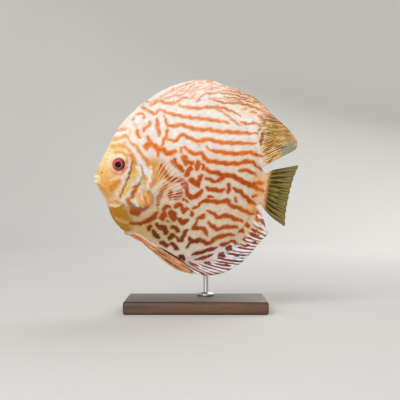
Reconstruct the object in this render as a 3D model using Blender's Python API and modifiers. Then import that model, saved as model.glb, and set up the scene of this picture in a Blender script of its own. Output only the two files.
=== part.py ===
"""A discus fish at life size, still, in the pose it swims in, on a plain display stand.

The left side faces -Y and the head points to -X. Outlines lie in the side plane, in
millimetres from the middle of the disc, with X towards the tail and Z up. The finished
solids are in metres, with the origin under the middle of the stand's base.
"""

import math

import bmesh
import bpy
import numpy as np
from mathutils import Vector
from mathutils.bvhtree import BVHTree

for old in list(bpy.data.objects):
    bpy.data.objects.remove(old, do_unlink=True)

# Driving sizes, millimetres
MM = 0.001
GAP = 0.3
DISC_HEIGHT = 106.0

# Body outline from the snout over the back to the root of the tail
CROWN = [
    (-79.3, 2.4), (-78.2, 8.4), (-74.0, 17.2), (-67.6, 30.0), (-60.0, 42.8), (-49.6, 53.2),
    (-36.0, 61.0), (-19.2, 65.6), (-1.0, 65.2), (16.8, 60.0), (28.0, 53.6), (37.6, 45.2),
    (44.0, 35.6), (48.0, 25.2), (50.4, 14.8), (53.2, 5.6), (57.2, 2.4),
]
# Body outline from the chin along the belly to the root of the tail
KEEL = [
    (-79.2, -5.0), (-77.0, -10.4), (-72.4, -17.4), (-70.0, -25.0), (-65.8, -34.4), (-55.2, -44.8),
    (-40.0, -53.8), (-24.0, -61.2), (-9.0, -64.8), (6.4, -63.2), (18.0, -58.2), (28.0, -51.4),
    (36.4, -42.8), (42.4, -34.4), (49.2, -22.2), (53.2, -20.8),
]
# Half width of the body, and of its flat ridge, along the outlines from snout to tail
BODY_HALF = [(0, 2.4), (0.04, 4.3), (0.09, 6.3), (0.15, 7.9), (0.22, 9.3), (0.30, 10.2),
             (0.42, 10.6), (0.55, 9.9), (0.70, 8.1), (0.82, 6.1), (0.92, 4.3), (1, 2.8)]
RIDGE_HALF = [(0, 0.6), (0.2, 0.7), (0.34, 1.4), (0.9, 1.4), (1, 0.8)]
SIDE_FALL = [(0, 0.5), (0.1, 0.6), (0.25, 0.75), (0.4, 0.9), (0.9, 0.85), (1, 0.7)]
STATIONS = 40
SNOUT_CROWDING = 1.25
RIBS = 14
ACROSS = 30.0
INSIDE = 2.0

# Where the body is divided
HEAD_EDGE = [(-53, 62), (-47, 46), (-44.8, 24), (-39.6, 10), (-37.4, 1), (-39.4, -7),
             (-45.5, -16), (-53, -23.5), (-62, -27.6), (-76, -27.5)]
TAIL_EDGE = [(52.6, 34), (50.4, 14.8), (48.4, -7), (45.6, -28.4), (42, -46)]

# Head
EYE_AT = (-61.0, 10.0)
EYE_RADIUS = 5.2
EYE_DEPTH = 3.5
EYE_SUNK = 1.6
NOSTRIL_AT = (-74.8, 3.8)
NOSTRIL_RADIUS = 0.75
MOUTH_CORNER = -76.6
MOUTH_HALF = 3.3
UPPER_LIP = {"front": -79.64, "height": 0.72, "corner": -0.8, "radius": 1.8}
LOWER_LIP = {"front": -79.83, "height": -3.54, "corner": -2.3, "radius": 1.75}
MOUTH_LINE = -1.5
MOUTH_GAP = 0.45
MOUTH_END = -76.17
LIP_CORNER_SHARE = 0.5
GILL_COVER = [(-49.0, 10.5), (-46.4, 13.6), (-42.6, 8.0), (-40.4, 0.4), (-43.4, -5.8),
              (-49.0, -12.8), (-54.6, -19.4), (-59.4, -18.6), (-57.4, -11.4), (-53.0, -2.0),
              (-50.6, 5.0)]
GILL_PROUD = 0.6
GILL_SUNK = 0.9

# Fins along the back and belly: the feet on the body, the margin, and how the rays lean
DORSAL_FEET = ((-49.2, 53.4), (52.4, 7.8))
DORSAL_MARGIN = [
    (-49.4, 54.6), (-40.8, 60.4), (-30.4, 67.8), (-20.8, 72.6), (-10.0, 76.2), (3.2, 78.4),
    (14.0, 77.6), (23.2, 73.8), (37.6, 69.0), (48.8, 62.8), (60.8, 50.8), (75.2, 37.2),
    (81.2, 27.6), (80.0, 22.8), (74.0, 18.2), (64.8, 14.0), (54.2, 7.2),
]
DORSAL_TIPS = [(0, 0), (0.25, 0.31), (0.54, 0.585), (0.73, 0.795), (0.80, 0.84), (1, 1)]
DORSAL_LEAN = [(0, 62), (0.25, 36), (0.54, 10), (0.73, 6), (0.86, 24), (1, 42)]
DORSAL_SPINES = 9
DORSAL_RAYS = 31

ANAL_FEET = ((-37.0, -55.4), (47.8, -24.8))
ANAL_MARGIN = [
    (-37.2, -56.8), (-31.2, -61.4), (-22.4, -69.2), (-12.8, -74.4), (0.0, -77.4), (10.4, -78.6),
    (20.8, -76.6), (35.2, -69.2), (44.8, -59.6), (52.0, -50.8), (57.6, -44.4), (56.0, -40.4),
    (53.2, -30.0), (49.6, -24.6),
]
ANAL_TIPS = [(0, 0), (0.25, 0.31), (0.60, 0.66), (0.80, 0.83), (1, 1)]
ANAL_LEAN = [(0, -66), (0.25, -48), (0.6, -30), (0.8, -24), (1, -32)]
ANAL_SPINES = 8
ANAL_RAYS = 30

# Tail fin: its upper and lower edges, from the root to the tips
TAIL_TOP = [(57.5, 2.2), (63.2, 5.4), (71.2, 7.4), (82.4, 10.0)]
TAIL_BOTTOM = [(53.5, -21.0), (57.6, -27.4), (63.2, -33.4), (71.2, -39.6)]
TAIL_REAR = [(82.4, 10.0), (77.6, -2.0), (74.4, -14.8), (72.0, -27.6), (71.2, -39.6)]
TAIL_RAYS = 16

# Thickness of the fins, halved
WEB_HALF = 0.28
WEB_TIP_HALF = 0.2
RAY_RISE = 0.22
SPINE_RISE = 0.34
RAY_TIP_RISE = 0.05
FOOT_SHARE = 0.34
FOOT_TRIM = 0.2
PECTORAL_FOOT_HALF = 0.9
PELVIC_FOOT_HALF = 0.6

# Pectoral fins
PECTORAL_AT = (-39.2, -17.0)
PECTORAL_PAD = (5.0, 2.3, 6.0)
PECTORAL_BASE = [(-38.8, -12.2), (-36.4, -16.0), (-36.2, -20.6)]
PECTORAL_TIPS = [(-30.4, 11.6), (-26.4, 15.4), (-19.2, 13.8), (-14.0, 7.6), (-7.4, -2.0),
                 (-7.4, -10.0), (-14.0, -18.0), (-19.2, -22.8)]
PECTORAL_RAYS = 12
PECTORAL_SPREAD = {"left": 18.0, "right": 22.0}
PECTORAL_LIFT = 1.0
PECTORAL_CURL = 0.006

# Pelvic fins: the upper and lower edges of each folded fin
PELVIC_TOP = [(-56.0, -42.6), (-44.8, -45.4), (-36.0, -51.6), (-22.4, -59.0), (-10.4, -66.6),
              (-3.0, -75.0)]
PELVIC_BOTTOM = [(-56.4, -44.6), (-44.8, -51.0), (-36.8, -57.2), (-24.4, -67.8), (-12.8, -74.6),
                 (-3.2, -76.8)]
PELVIC_PAD_AT = (-52.8, 3.4, -44.2)
PELVIC_PAD = (4.4, 1.7, 2.1)
PELVIC_RAYS = 6
PELVIC_CLEAR = 0.9
PELVIC_NEAREST = 2.4

# Stand
BASE = (112.0, 68.0, 10.0)
BASE_BEVEL = 2.0
ROD_AT = (8.0, 16.2)
ROD_RADIUS = 2.0
ROD_FOOT = (7.0, 1.4, 2.6)
ARM_HEIGHT = 98.0
ARM_RADIUS = 1.7
ARM_PAD_RADIUS = 4.2
ARM_PAD_THICK = 1.4
ARM_PAD_CONE = 0.4
ARM_SUNK = 2.0
ROD_TOP = 102.5
ROD_TOP_BEVEL = 0.5

CURVE_STEPS = 24

parts = bpy.data.collections.new("discus_fish")
tools = bpy.data.collections.new("cutters")
bpy.context.scene.collection.children.link(parts)
bpy.context.scene.collection.children.link(tools)


# Curves and tables

def smooth_line(points, count, closed=False):
    """Points at even steps along a smooth curve through the given ones."""
    given = np.array(points, float)
    if closed:
        ends = given[-1:], given[:2]
    else:
        ends = 2 * given[:1] - given[1:2], 2 * given[-1:] - given[-2:-1]
    padded = np.concatenate([ends[0], given, ends[1]])
    fine = []
    for p0, p1, p2, p3 in zip(padded, padded[1:], padded[2:], padded[3:]):
        k1 = np.linalg.norm(p1 - p0) ** 0.5
        k2 = k1 + np.linalg.norm(p2 - p1) ** 0.5
        k3 = k2 + np.linalg.norm(p3 - p2) ** 0.5
        for k in np.linspace(k1, k2, CURVE_STEPS, endpoint=False):
            a1 = (p0 * (k1 - k) + p1 * k) / k1
            a2 = (p1 * (k2 - k) + p2 * (k - k1)) / (k2 - k1)
            a3 = (p2 * (k3 - k) + p3 * (k - k2)) / (k3 - k2)
            b1 = (a1 * (k2 - k) + a2 * k) / k2
            b2 = (a2 * (k3 - k) + a3 * (k - k1)) / (k3 - k1)
            fine.append((b1 * (k2 - k) + b2 * (k - k1)) / (k2 - k1))
    fine.append(given[0] if closed else given[-1])
    fine = np.array(fine)
    if closed:
        return at_share(fine, np.arange(count) / count)
    return at_share(fine, np.linspace(0, 1, count))


def at_share(line, share):
    """The points at these shares of a polyline's length."""
    steps = np.linalg.norm(np.diff(line, axis=0), axis=1)
    travelled = np.concatenate([[0], np.cumsum(steps)]) / steps.sum()
    return np.stack([np.interp(share, travelled, line[:, i]) for i in range(line.shape[1])], -1)


def share_near(line, point):
    """The share of a polyline's length that lies nearest to a point."""
    shares = np.linspace(0, 1, 2001)
    away = np.linalg.norm(at_share(line, shares) - np.array(point), axis=1)
    return float(shares[away.argmin()])


def eased(table, at):
    """A smooth value read from a short table."""
    knots = np.array(table, float)
    slopes = np.gradient(knots[:, 1], knots[:, 0])
    at = np.clip(at, knots[0, 0], knots[-1, 0])
    i = np.clip(np.searchsorted(knots[:, 0], at, side="right") - 1, 0, len(knots) - 2)
    span = knots[i + 1, 0] - knots[i, 0]
    t = (at - knots[i, 0]) / span
    start = (2 * t**3 - 3 * t**2 + 1) * knots[i, 1] + (t**3 - 2 * t**2 + t) * span * slopes[i]
    end = (3 * t**2 - 2 * t**3) * knots[i + 1, 1] + (t**3 - t**2) * span * slopes[i + 1]
    return start + end


# Meshes

def placed(points):
    """Disc millimetres to metres above the floor."""
    return (np.array(points, float) + (0, 0, DISC_HEIGHT)) * MM


def new_object(name, points, faces, collection=None):
    mesh = bpy.data.meshes.new(name)
    mesh.from_pydata([tuple(p) for p in placed(points)], [], faces)
    obj = bpy.data.objects.new(name, mesh)
    (collection or tools).objects.link(obj)
    turn_outwards(obj)
    return obj


def turn_outwards(obj):
    shape = bmesh.new()
    shape.from_mesh(obj.data)
    bmesh.ops.recalc_face_normals(shape, faces=shape.faces)
    shape.to_mesh(obj.data)
    shape.free()


def keep_shape(obj):
    """Turn an object's modifiers into its mesh."""
    bpy.context.view_layer.update()
    depsgraph = bpy.context.evaluated_depsgraph_get()
    shaped = bpy.data.meshes.new_from_object(obj.evaluated_get(depsgraph))
    obj.modifiers.clear()
    obj.data = shaped


def combine(obj, other, operation):
    """Cut an object with another, join them, or keep what they share."""
    step = obj.modifiers.new(operation, "BOOLEAN")
    step.operation = operation
    step.solver = "EXACT"
    step.object = other
    keep_shape(obj)


def drop(*objects):
    for obj in objects:
        bpy.data.objects.remove(obj, do_unlink=True)


def closed_pieces(obj):
    """The face sets of an object's separate closed surfaces, largest first."""
    shape = bmesh.new()
    shape.from_mesh(obj.data)
    shape.faces.ensure_lookup_table()
    seen = set()
    found = []
    for face in shape.faces:
        if face.index in seen:
            continue
        piece = {face.index}
        edge_of = [face]
        while edge_of:
            for edge in edge_of.pop().edges:
                for other in edge.link_faces:
                    if other.index not in piece:
                        piece.add(other.index)
                        edge_of.append(other)
        seen |= piece
        low = np.array([shape.faces[i].calc_center_median() for i in piece]).min(axis=0)
        size = sum(shape.faces[i].calc_area() for i in piece)
        found.append({"faces": piece, "low_x": float(low[0]), "size": size})
    shape.free()
    return sorted(found, key=lambda piece: -piece["size"])


def keep_piece(obj, piece):
    shape = bmesh.new()
    shape.from_mesh(obj.data)
    loose = [face for face in shape.faces if face.index not in piece["faces"]]
    bmesh.ops.delete(shape, geom=loose, context="FACES")
    shape.to_mesh(obj.data)
    shape.free()


def node(obj, name, colour, roughness=0.45, metallic=0.0):
    """Name a finished sub-part, give it its material and put it with the fish."""
    keep_piece(obj, closed_pieces(obj)[0])
    obj.name = name
    obj.data.name = name
    finish = bpy.data.materials.new(name)
    finish.use_nodes = True
    shader = finish.node_tree.nodes["Principled BSDF"]
    shader.inputs["Base Color"].default_value = (*colour, 1.0)
    shader.inputs["Roughness"].default_value = roughness
    shader.inputs["Metallic"].default_value = metallic
    obj.data.materials.clear()
    obj.data.materials.append(finish)
    tools.objects.unlink(obj)
    parts.objects.link(obj)
    return obj


def prism(name, outline, near, far):
    """An outline in the side plane, drawn out across the fish."""
    count = len(outline)
    points = [(x, near, z) for x, z in outline] + [(x, far, z) for x, z in outline]
    faces = [tuple(range(count)), tuple(range(2 * count - 1, count - 1, -1))]
    faces += [(i, (i + 1) % count, count + (i + 1) % count, count + i) for i in range(count)]
    return new_object(name, points, faces)


def slit(name, line):
    """A thin curved wall right across the fish, to part it."""
    line = smooth_line(line, 30)
    ahead = np.gradient(line, axis=0)
    side = np.stack([-ahead[:, 1], ahead[:, 0]], -1)
    side /= np.linalg.norm(side, axis=1, keepdims=True)
    outline = np.concatenate([line + side * GAP / 2, (line - side * GAP / 2)[::-1]])
    return prism(name, outline, -ACROSS, ACROSS)


def ellipsoid(name, centre, radii, segments=18, rings=11):
    """A flattened ball with its poles to the fish's sides."""
    bpy.ops.mesh.primitive_uv_sphere_add(segments=segments, ring_count=rings, radius=1)
    obj = bpy.context.object
    points = np.array([v.co for v in obj.data.vertices])
    turned = np.stack([points[:, 0], points[:, 2], -points[:, 1]], -1)
    for vertex, place in zip(obj.data.vertices, placed(turned * radii + centre)):
        vertex.co = place
    for holder in list(obj.users_collection):
        holder.objects.unlink(obj)
    tools.objects.link(obj)
    obj.name = name
    return obj


# Body

crown = smooth_line(CROWN, 400)
keel = smooth_line(KEEL, 400)


def side_half(u, s):
    """Half width of the body at u along it and s from keel (-1) to crown (1)."""
    ridge = eased(RIDGE_HALF, u)
    return ridge + (eased(BODY_HALF, u) - ridge) * (1 - s * s) ** eased(SIDE_FALL, u)


def body(name, swell=0.0):
    """The whole body as one loft, or a copy of it swollen or shrunk by swell."""
    along = np.linspace(0, 1, STATIONS) ** SNOUT_CROWDING
    up = np.sin(np.linspace(-1, 1, RIBS) * math.pi / 2)
    points = []
    for u in along:
        low = at_share(keel, u)
        high = at_share(crown, u)
        half = side_half(u, up)
        spine = low + (high - low) * ((up + 1) / 2)[:, None]
        left = np.stack([spine[:, 0], -half, spine[:, 1]], -1)
        right = np.stack([spine[:, 0], half, spine[:, 1]], -1)[::-1]
        points += [*left, *right]
    ring = 2 * RIBS
    faces = []
    for i in range(STATIONS - 1):
        for j in range(ring):
            k = (j + 1) % ring
            faces.append((i * ring + j, i * ring + k, (i + 1) * ring + k, (i + 1) * ring + j))
    faces += [tuple(range(ring)), tuple(range((STATIONS - 1) * ring, STATIONS * ring))]
    obj = new_object(name, points, faces)
    if swell:
        moved = [v.co + v.normal * swell * MM for v in obj.data.vertices]
        for vertex, place in zip(obj.data.vertices, moved):
            vertex.co = place
    return obj


whole = body("body")
flank = BVHTree.FromPolygons([v.co for v in whole.data.vertices],
                             [p.vertices for p in whole.data.polygons])
beyond = body("body_clearance", GAP)


def flank_half(x, z):
    """Half width of the body at a point of the side view, or 0 outside it."""
    start = Vector(placed((x, -ACROSS, z)))
    hit = flank.ray_cast(start, Vector((0, 1, 0)))[0]
    return 0.0 if hit is None else -hit.y / MM


for edge in (slit("head_slit", HEAD_EDGE), slit("tail_slit", TAIL_EDGE)):
    combine(whole, edge, "DIFFERENCE")
    drop(edge)
sections = sorted(closed_pieces(whole)[:3], key=lambda piece: piece["low_x"])
lengths = []
for section in sections:
    piece = whole.copy()
    piece.data = whole.data.copy()
    tools.objects.link(piece)
    keep_piece(piece, section)
    lengths.append(piece)
drop(whole)
head, torso, tail_root = lengths


# Head

def lip(name, sizes):
    """A round lip, bent from one corner of the mouth to the other."""
    curve = bpy.data.curves.new(name, "CURVE")
    curve.dimensions = "3D"
    curve.bevel_depth = sizes["radius"] * MM
    curve.bevel_resolution = 2
    curve.use_fill_caps = True
    turns = np.linspace(-90, 90, 13)
    spline = curve.splines.new("POLY")
    spline.points.add(len(turns) - 1)
    for point, turn in zip(spline.points, turns):
        forward = math.cos(math.radians(turn))
        x = MOUTH_CORNER + (sizes["front"] - MOUTH_CORNER) * forward
        y = MOUTH_HALF * math.sin(math.radians(turn))
        z = sizes["corner"] + (sizes["height"] - sizes["corner"]) * forward
        point.co = (*placed((x, y, z)), 1)
        point.radius = LIP_CORNER_SHARE + (1 - LIP_CORNER_SHARE) * forward
    rope = bpy.data.objects.new(name, curve)
    tools.objects.link(rope)
    keep = bpy.data.objects.new(name, mesh_of(rope))
    tools.objects.link(keep)
    drop(rope)
    turn_outwards(keep)
    return keep


def mesh_of(rope):
    """A curve as a closed mesh, with its caps joined on."""
    bpy.context.view_layer.update()
    depsgraph = bpy.context.evaluated_depsgraph_get()
    mesh = bpy.data.meshes.new_from_object(rope.evaluated_get(depsgraph))
    shape = bmesh.new()
    shape.from_mesh(mesh)
    bmesh.ops.remove_doubles(shape, verts=shape.verts, dist=1e-6)
    shape.to_mesh(mesh)
    shape.free()
    return mesh


for sizes in (UPPER_LIP, LOWER_LIP):
    rim = lip("lip", sizes)
    combine(head, rim, "UNION")
    drop(rim)
ahead_of_lips = LOWER_LIP["front"] - LOWER_LIP["radius"] - MOUTH_HALF
mouth_low = MOUTH_LINE - MOUTH_GAP / 2
mouth_high = MOUTH_LINE + MOUTH_GAP / 2
mouth = prism("mouth", [(ahead_of_lips, mouth_low), (MOUTH_END, mouth_low),
                        (MOUTH_END, mouth_high), (ahead_of_lips, mouth_high)], -ACROSS, ACROSS)
combine(head, mouth, "DIFFERENCE")
drop(mouth)

eyes = {}
for side, sign in (("left", -1), ("right", 1)):
    eye_y = sign * (flank_half(*EYE_AT) - EYE_SUNK)
    centre = np.array((EYE_AT[0], eye_y, EYE_AT[1]))
    radii = np.array((EYE_RADIUS, EYE_DEPTH, EYE_RADIUS))
    socket = ellipsoid("socket", centre, radii + GAP)
    eyes[side] = ellipsoid("eye", centre, radii)
    pit_y = sign * flank_half(*NOSTRIL_AT)
    pit = ellipsoid("nostril", np.array((NOSTRIL_AT[0], pit_y, NOSTRIL_AT[1])),
                    np.full(3, NOSTRIL_RADIUS), 8, 6)
    for cutter in (socket, pit):
        combine(head, cutter, "DIFFERENCE")
        drop(cutter)

gill_covers = {}
gill_edge = smooth_line(GILL_COVER, 34, closed=True)
outwards = gill_edge - gill_edge.mean(axis=0)
outwards /= np.linalg.norm(outwards, axis=1, keepdims=True)
over = body("gill_face", GILL_PROUD)
under = body("gill_back", -GILL_SUNK)
deeper = body("gill_bed", -GILL_SUNK - GAP)
for side, sign in (("left", -1), ("right", 1)):
    cover = prism("gill_cover", gill_edge, sign * INSIDE, sign * ACROSS)
    combine(cover, over, "INTERSECT")
    combine(cover, under, "DIFFERENCE")
    gill_covers[side] = cover
    bed = prism("gill_chamber", gill_edge + outwards * GAP, sign * INSIDE, sign * ACROSS)
    combine(bed, deeper, "DIFFERENCE")
    combine(head, bed, "DIFFERENCE")
    drop(bed)
drop(over, under, deeper)

node(head, "head", (0.90, 0.66, 0.34))
node(torso, "torso", (0.88, 0.66, 0.52))
node(tail_root, "tail_root", (0.86, 0.62, 0.42))
for side in ("left", "right"):
    node(eyes[side], "eye_" + side, (0.45, 0.03, 0.05), 0.1)
    node(gill_covers[side], "gill_cover_" + side, (0.90, 0.72, 0.50))


# Fins

def web(name, rays, halves):
    """A fin as one closed solid, from a grid of points that runs ray by ray, root to tip."""
    columns, rows = halves.shape
    normal = np.cross(np.gradient(rays, axis=0), np.gradient(rays, axis=1))
    normal /= np.linalg.norm(normal, axis=2, keepdims=True)
    near = (rays + normal * halves[..., None]).reshape(-1, 3)
    far = (rays - normal * halves[..., None]).reshape(-1, 3)
    back = columns * rows
    faces = []
    for c in range(columns - 1):
        for r in range(rows - 1):
            a, b = c * rows + r, (c + 1) * rows + r
            for tri in ((a, b, b + 1), (a, b + 1, a + 1)):
                faces += [tri, tuple(back + i for i in reversed(tri))]
    rim = [c * rows for c in range(columns)]
    rim += [(columns - 1) * rows + r for r in range(1, rows)]
    rim += [c * rows + rows - 1 for c in range(columns - 2, -1, -1)]
    rim += [r for r in range(rows - 2, 0, -1)]
    for p, q in zip(rim, rim[1:] + rim[:1]):
        faces += [(p, q, back + q), (p, back + q, back + p)]
    return new_object(name, np.concatenate([near, far]), faces)


def ray_halves(feet, steps, spines, rays):
    """Half thickness over a fin: every other column is a spine or a ray, raised on the web."""
    count = 2 * (spines + rays) + 1
    thin = WEB_HALF + (WEB_TIP_HALF - WEB_HALF) * steps
    foot = np.clip(1 - steps / FOOT_SHARE, 0, 1) ** 2
    halves = np.empty((count, len(steps)))
    for c in range(count):
        halves[c] = thin + (feet[c] - thin) * foot
        if c % 2:
            rise = SPINE_RISE if c < 2 * spines else RAY_RISE
            halves[c] += (rise + (RAY_TIP_RISE - rise) * steps) * (1 - foot)
    return halves


def edge_fin(name, outline, feet, margin, tips, lean, spines, rays, out):
    """A fin along the back or belly: each ray leaves the ridge and bends to the margin."""
    first, last = share_near(outline, feet[0]), share_near(outline, feet[1])
    columns = 2 * (spines + rays) + 1
    shares = np.linspace(first, last, columns)
    ridge = at_share(outline, shares)
    ahead = at_share(outline, shares + 0.004) - at_share(outline, shares - 0.004)
    side = np.stack([-ahead[:, 1], ahead[:, 0]], -1) * out
    side /= np.linalg.norm(side, axis=1, keepdims=True)
    foot = ridge + side * GAP
    edge = smooth_line(margin, 300)
    v = np.linspace(0, 1, columns)
    steps = np.array([0, 0.12, 0.3, 0.55, 0.8, 1.0])
    grid = np.zeros((columns, len(steps), 3))
    for c in range(columns):
        tip = at_share(edge, np.interp(v[c], *np.array(tips, float).T))
        angle = math.radians(np.interp(v[c], *np.array(lean, float).T))
        reach = np.linalg.norm(tip - foot[c]) / 2
        bend = foot[c] + reach * np.array((math.cos(angle), math.sin(angle)))
        t = steps[:, None]
        line = foot[c] * (1 - t) ** 2 + 2 * bend * t * (1 - t) + tip * t * t
        grid[c, :, 0] = line[:, 0]
        grid[c, :, 2] = line[:, 1]
    root_half = eased(RIDGE_HALF, shares) - FOOT_TRIM
    return web(name, grid, ray_halves(root_half, steps, spines, rays))


dorsal = edge_fin("dorsal", crown, DORSAL_FEET, DORSAL_MARGIN, DORSAL_TIPS, DORSAL_LEAN,
                  DORSAL_SPINES, DORSAL_RAYS, 1)
anal = edge_fin("anal", keel, ANAL_FEET, ANAL_MARGIN, ANAL_TIPS, ANAL_LEAN,
                ANAL_SPINES, ANAL_RAYS, -1)
node(dorsal, "dorsal_fin", (0.88, 0.62, 0.42))
node(anal, "anal_fin", (0.80, 0.52, 0.42))


def tail_fin():
    """The fan of the tail, from the flat end of the body."""
    columns = 2 * TAIL_RAYS + 1
    steps = np.array([0, 0.1, 0.25, 0.45, 0.65, 0.85, 1.0])
    top = at_share(smooth_line(TAIL_TOP, 60), steps)
    bottom = at_share(smooth_line(TAIL_BOTTOM, 60), steps)
    rear = at_share(smooth_line(TAIL_REAR, 100), np.linspace(0, 1, columns))
    along = at_share(crown, 1) - at_share(keel, 1)
    out = np.array((along[1], -along[0])) / np.linalg.norm(along)
    grid = np.zeros((columns, len(steps), 3))
    feet = np.empty(columns)
    for c, v in enumerate(np.linspace(0, 1, columns)):
        foot = at_share(crown, 1) * (1 - v) + at_share(keel, 1) * v + out * GAP
        straight = foot + (rear[c] - foot) * steps[:, None]
        bend_top = top - (top[0] + (top[-1] - top[0]) * steps[:, None])
        bend_bottom = bottom - (bottom[0] + (bottom[-1] - bottom[0]) * steps[:, None])
        line = straight + bend_top * (1 - v) ** 2 + bend_bottom * v**2
        grid[c, :, 0] = line[:, 0]
        grid[c, :, 2] = line[:, 1]
        feet[c] = side_half(1.0, 1 - 2 * v) - FOOT_TRIM
    return web("tail", grid, ray_halves(feet, steps, 0, TAIL_RAYS))


node(tail_fin(), "tail_fin", (0.62, 0.50, 0.22))


def pectoral_fin(side, sign):
    """A clear fan on a round fleshy pad behind the gill cover, spread from the flank."""
    columns = 2 * PECTORAL_RAYS + 1
    steps = np.array([0, 0.18, 0.38, 0.6, 0.8, 1.0])
    shares = np.linspace(0, 1, columns)
    feet = at_share(smooth_line(PECTORAL_BASE, 60), shares)
    tips = at_share(smooth_line(PECTORAL_TIPS, 120), shares)
    pad_y = flank_half(*PECTORAL_AT)
    lift = math.tan(math.radians(PECTORAL_SPREAD[side]))
    grid = np.zeros((columns, len(steps), 3))
    for c in range(columns):
        line = feet[c] + (tips[c] - feet[c]) * steps[:, None]
        away = np.linalg.norm(line - feet[c], axis=1)
        grid[c, :, 0] = line[:, 0]
        grid[c, :, 1] = sign * (pad_y + PECTORAL_LIFT + away * lift - PECTORAL_CURL * away**2)
        grid[c, :, 2] = line[:, 1]
    halves = ray_halves(np.full(columns, PECTORAL_FOOT_HALF), steps, 0, PECTORAL_RAYS)
    fan = web("pectoral", grid, halves)
    centre = np.array((PECTORAL_AT[0], sign * pad_y, PECTORAL_AT[1]))
    pad = ellipsoid("pad", centre, np.array(PECTORAL_PAD), 16, 10)
    combine(pad, fan, "UNION")
    combine(pad, beyond, "DIFFERENCE")
    drop(fan)
    return pad


def pelvic_fin(sign):
    """A narrow fin folded back along the keel, clear of the flank and the anal fin."""
    columns = 2 * PELVIC_RAYS + 1
    steps = np.linspace(0, 1, 9)
    top = at_share(smooth_line(PELVIC_TOP, 100), steps)
    bottom = at_share(smooth_line(PELVIC_BOTTOM, 100), steps)
    grid = np.zeros((columns, len(steps), 3))
    for c, v in enumerate(np.linspace(0, 1, columns)):
        line = top * (1 - v) + bottom * v
        beside = np.array([flank_half(x, z) for x, z in line])
        grid[c, :, 0] = line[:, 0]
        grid[c, :, 1] = sign * (np.maximum(beside, PELVIC_NEAREST) + PELVIC_CLEAR)
        grid[c, :, 2] = line[:, 1]
    halves = ray_halves(np.full(columns, PELVIC_FOOT_HALF), steps, 1, PELVIC_RAYS - 1)
    blade = web("pelvic", grid, halves)
    x, y, z = PELVIC_PAD_AT
    pad = ellipsoid("pad", np.array((x, sign * y, z)), np.array(PELVIC_PAD), 14, 8)
    combine(pad, blade, "UNION")
    combine(pad, beyond, "DIFFERENCE")
    drop(blade)
    return pad


for side, sign in (("left", -1), ("right", 1)):
    node(pectoral_fin(side, sign), "pectoral_fin_" + side, (0.93, 0.72, 0.50))
    node(pelvic_fin(sign), "pelvic_fin_" + side, (0.85, 0.48, 0.36))


# Stand

bpy.ops.mesh.primitive_cube_add(size=1)
base = bpy.context.object
for vertex in base.data.vertices:
    lift = vertex.co.z + 0.5
    vertex.co = (vertex.co.x * BASE[0] * MM, vertex.co.y * BASE[1] * MM, lift * BASE[2] * MM)
soften = base.modifiers.new("soft_edges", "BEVEL")
soften.width = BASE_BEVEL * MM
soften.segments = 3
soften.limit_method = "ANGLE"
for holder in list(base.users_collection):
    holder.objects.unlink(base)
tools.objects.link(base)
keep_shape(base)
node(base, "stand_base", (0.10, 0.055, 0.03), 0.35)


def turned(name, profile, steps=20):
    """A turned piece from its profile, top to bottom, as pairs of radius and height."""
    mesh = bpy.data.meshes.new(name)
    mesh.from_pydata([(r * MM, 0, z * MM) for r, z in profile],
                     [(i, i + 1) for i in range(len(profile) - 1)], [])
    obj = bpy.data.objects.new(name, mesh)
    tools.objects.link(obj)
    lathe = obj.modifiers.new("lathe", "SCREW")
    lathe.steps = steps
    lathe.render_steps = steps
    lathe.use_merge_vertices = True
    lathe.merge_threshold = 0.00001
    keep_shape(obj)
    turn_outwards(obj)
    return obj


def rod_shape(name, radius, foot_radius):
    low = BASE[2] + GAP
    return turned(name, [(0, ROD_TOP), (radius - ROD_TOP_BEVEL, ROD_TOP),
                         (radius, ROD_TOP - ROD_TOP_BEVEL),
                         (radius, low + ROD_FOOT[2]), (foot_radius, low + ROD_FOOT[1]),
                         (foot_radius, low), (0, low)])


rod = rod_shape("rod", ROD_RADIUS, ROD_FOOT[0])
rod_room = rod_shape("rod_room", ROD_RADIUS + GAP, ROD_FOOT[0] + GAP)
for obj in (rod, rod_room):
    for vertex in obj.data.vertices:
        vertex.co += Vector((ROD_AT[0] * MM, ROD_AT[1] * MM, 0))

arm_z = ARM_HEIGHT - DISC_HEIGHT
flank_y = flank_half(ROD_AT[0], arm_z)
pad_face = flank_y + ARM_PAD_THICK
sunk = flank_y - ARM_SUNK
arm = turned("arm", [(0, ROD_AT[1]), (ARM_RADIUS, ROD_AT[1]), (ARM_RADIUS, pad_face + ARM_PAD_CONE),
                     (ARM_PAD_RADIUS, pad_face), (ARM_PAD_RADIUS, sunk), (0, sunk)])
for vertex in arm.data.vertices:
    x, y, z = vertex.co
    vertex.co = (ROD_AT[0] * MM + x, z, ARM_HEIGHT * MM - y)
turn_outwards(arm)
combine(arm, rod_room, "DIFFERENCE")
combine(arm, beyond, "DIFFERENCE")
drop(rod_room, beyond)
node(rod, "stand_rod", (0.62, 0.62, 0.60), 0.25, 1.0)
node(arm, "stand_arm", (0.62, 0.62, 0.60), 0.25, 1.0)

bpy.data.collections.remove(tools)
for obj in parts.objects:
    obj.data.shade_smooth()
    obj.data.set_sharp_from_angle(angle=math.radians(35))
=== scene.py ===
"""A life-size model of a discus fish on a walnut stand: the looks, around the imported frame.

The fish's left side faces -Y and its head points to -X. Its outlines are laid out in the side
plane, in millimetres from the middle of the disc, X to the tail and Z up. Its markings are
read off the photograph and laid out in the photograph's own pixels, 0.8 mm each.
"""

import math

import bpy
import numpy as np
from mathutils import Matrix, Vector
from mathutils.bvhtree import BVHTree


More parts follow.
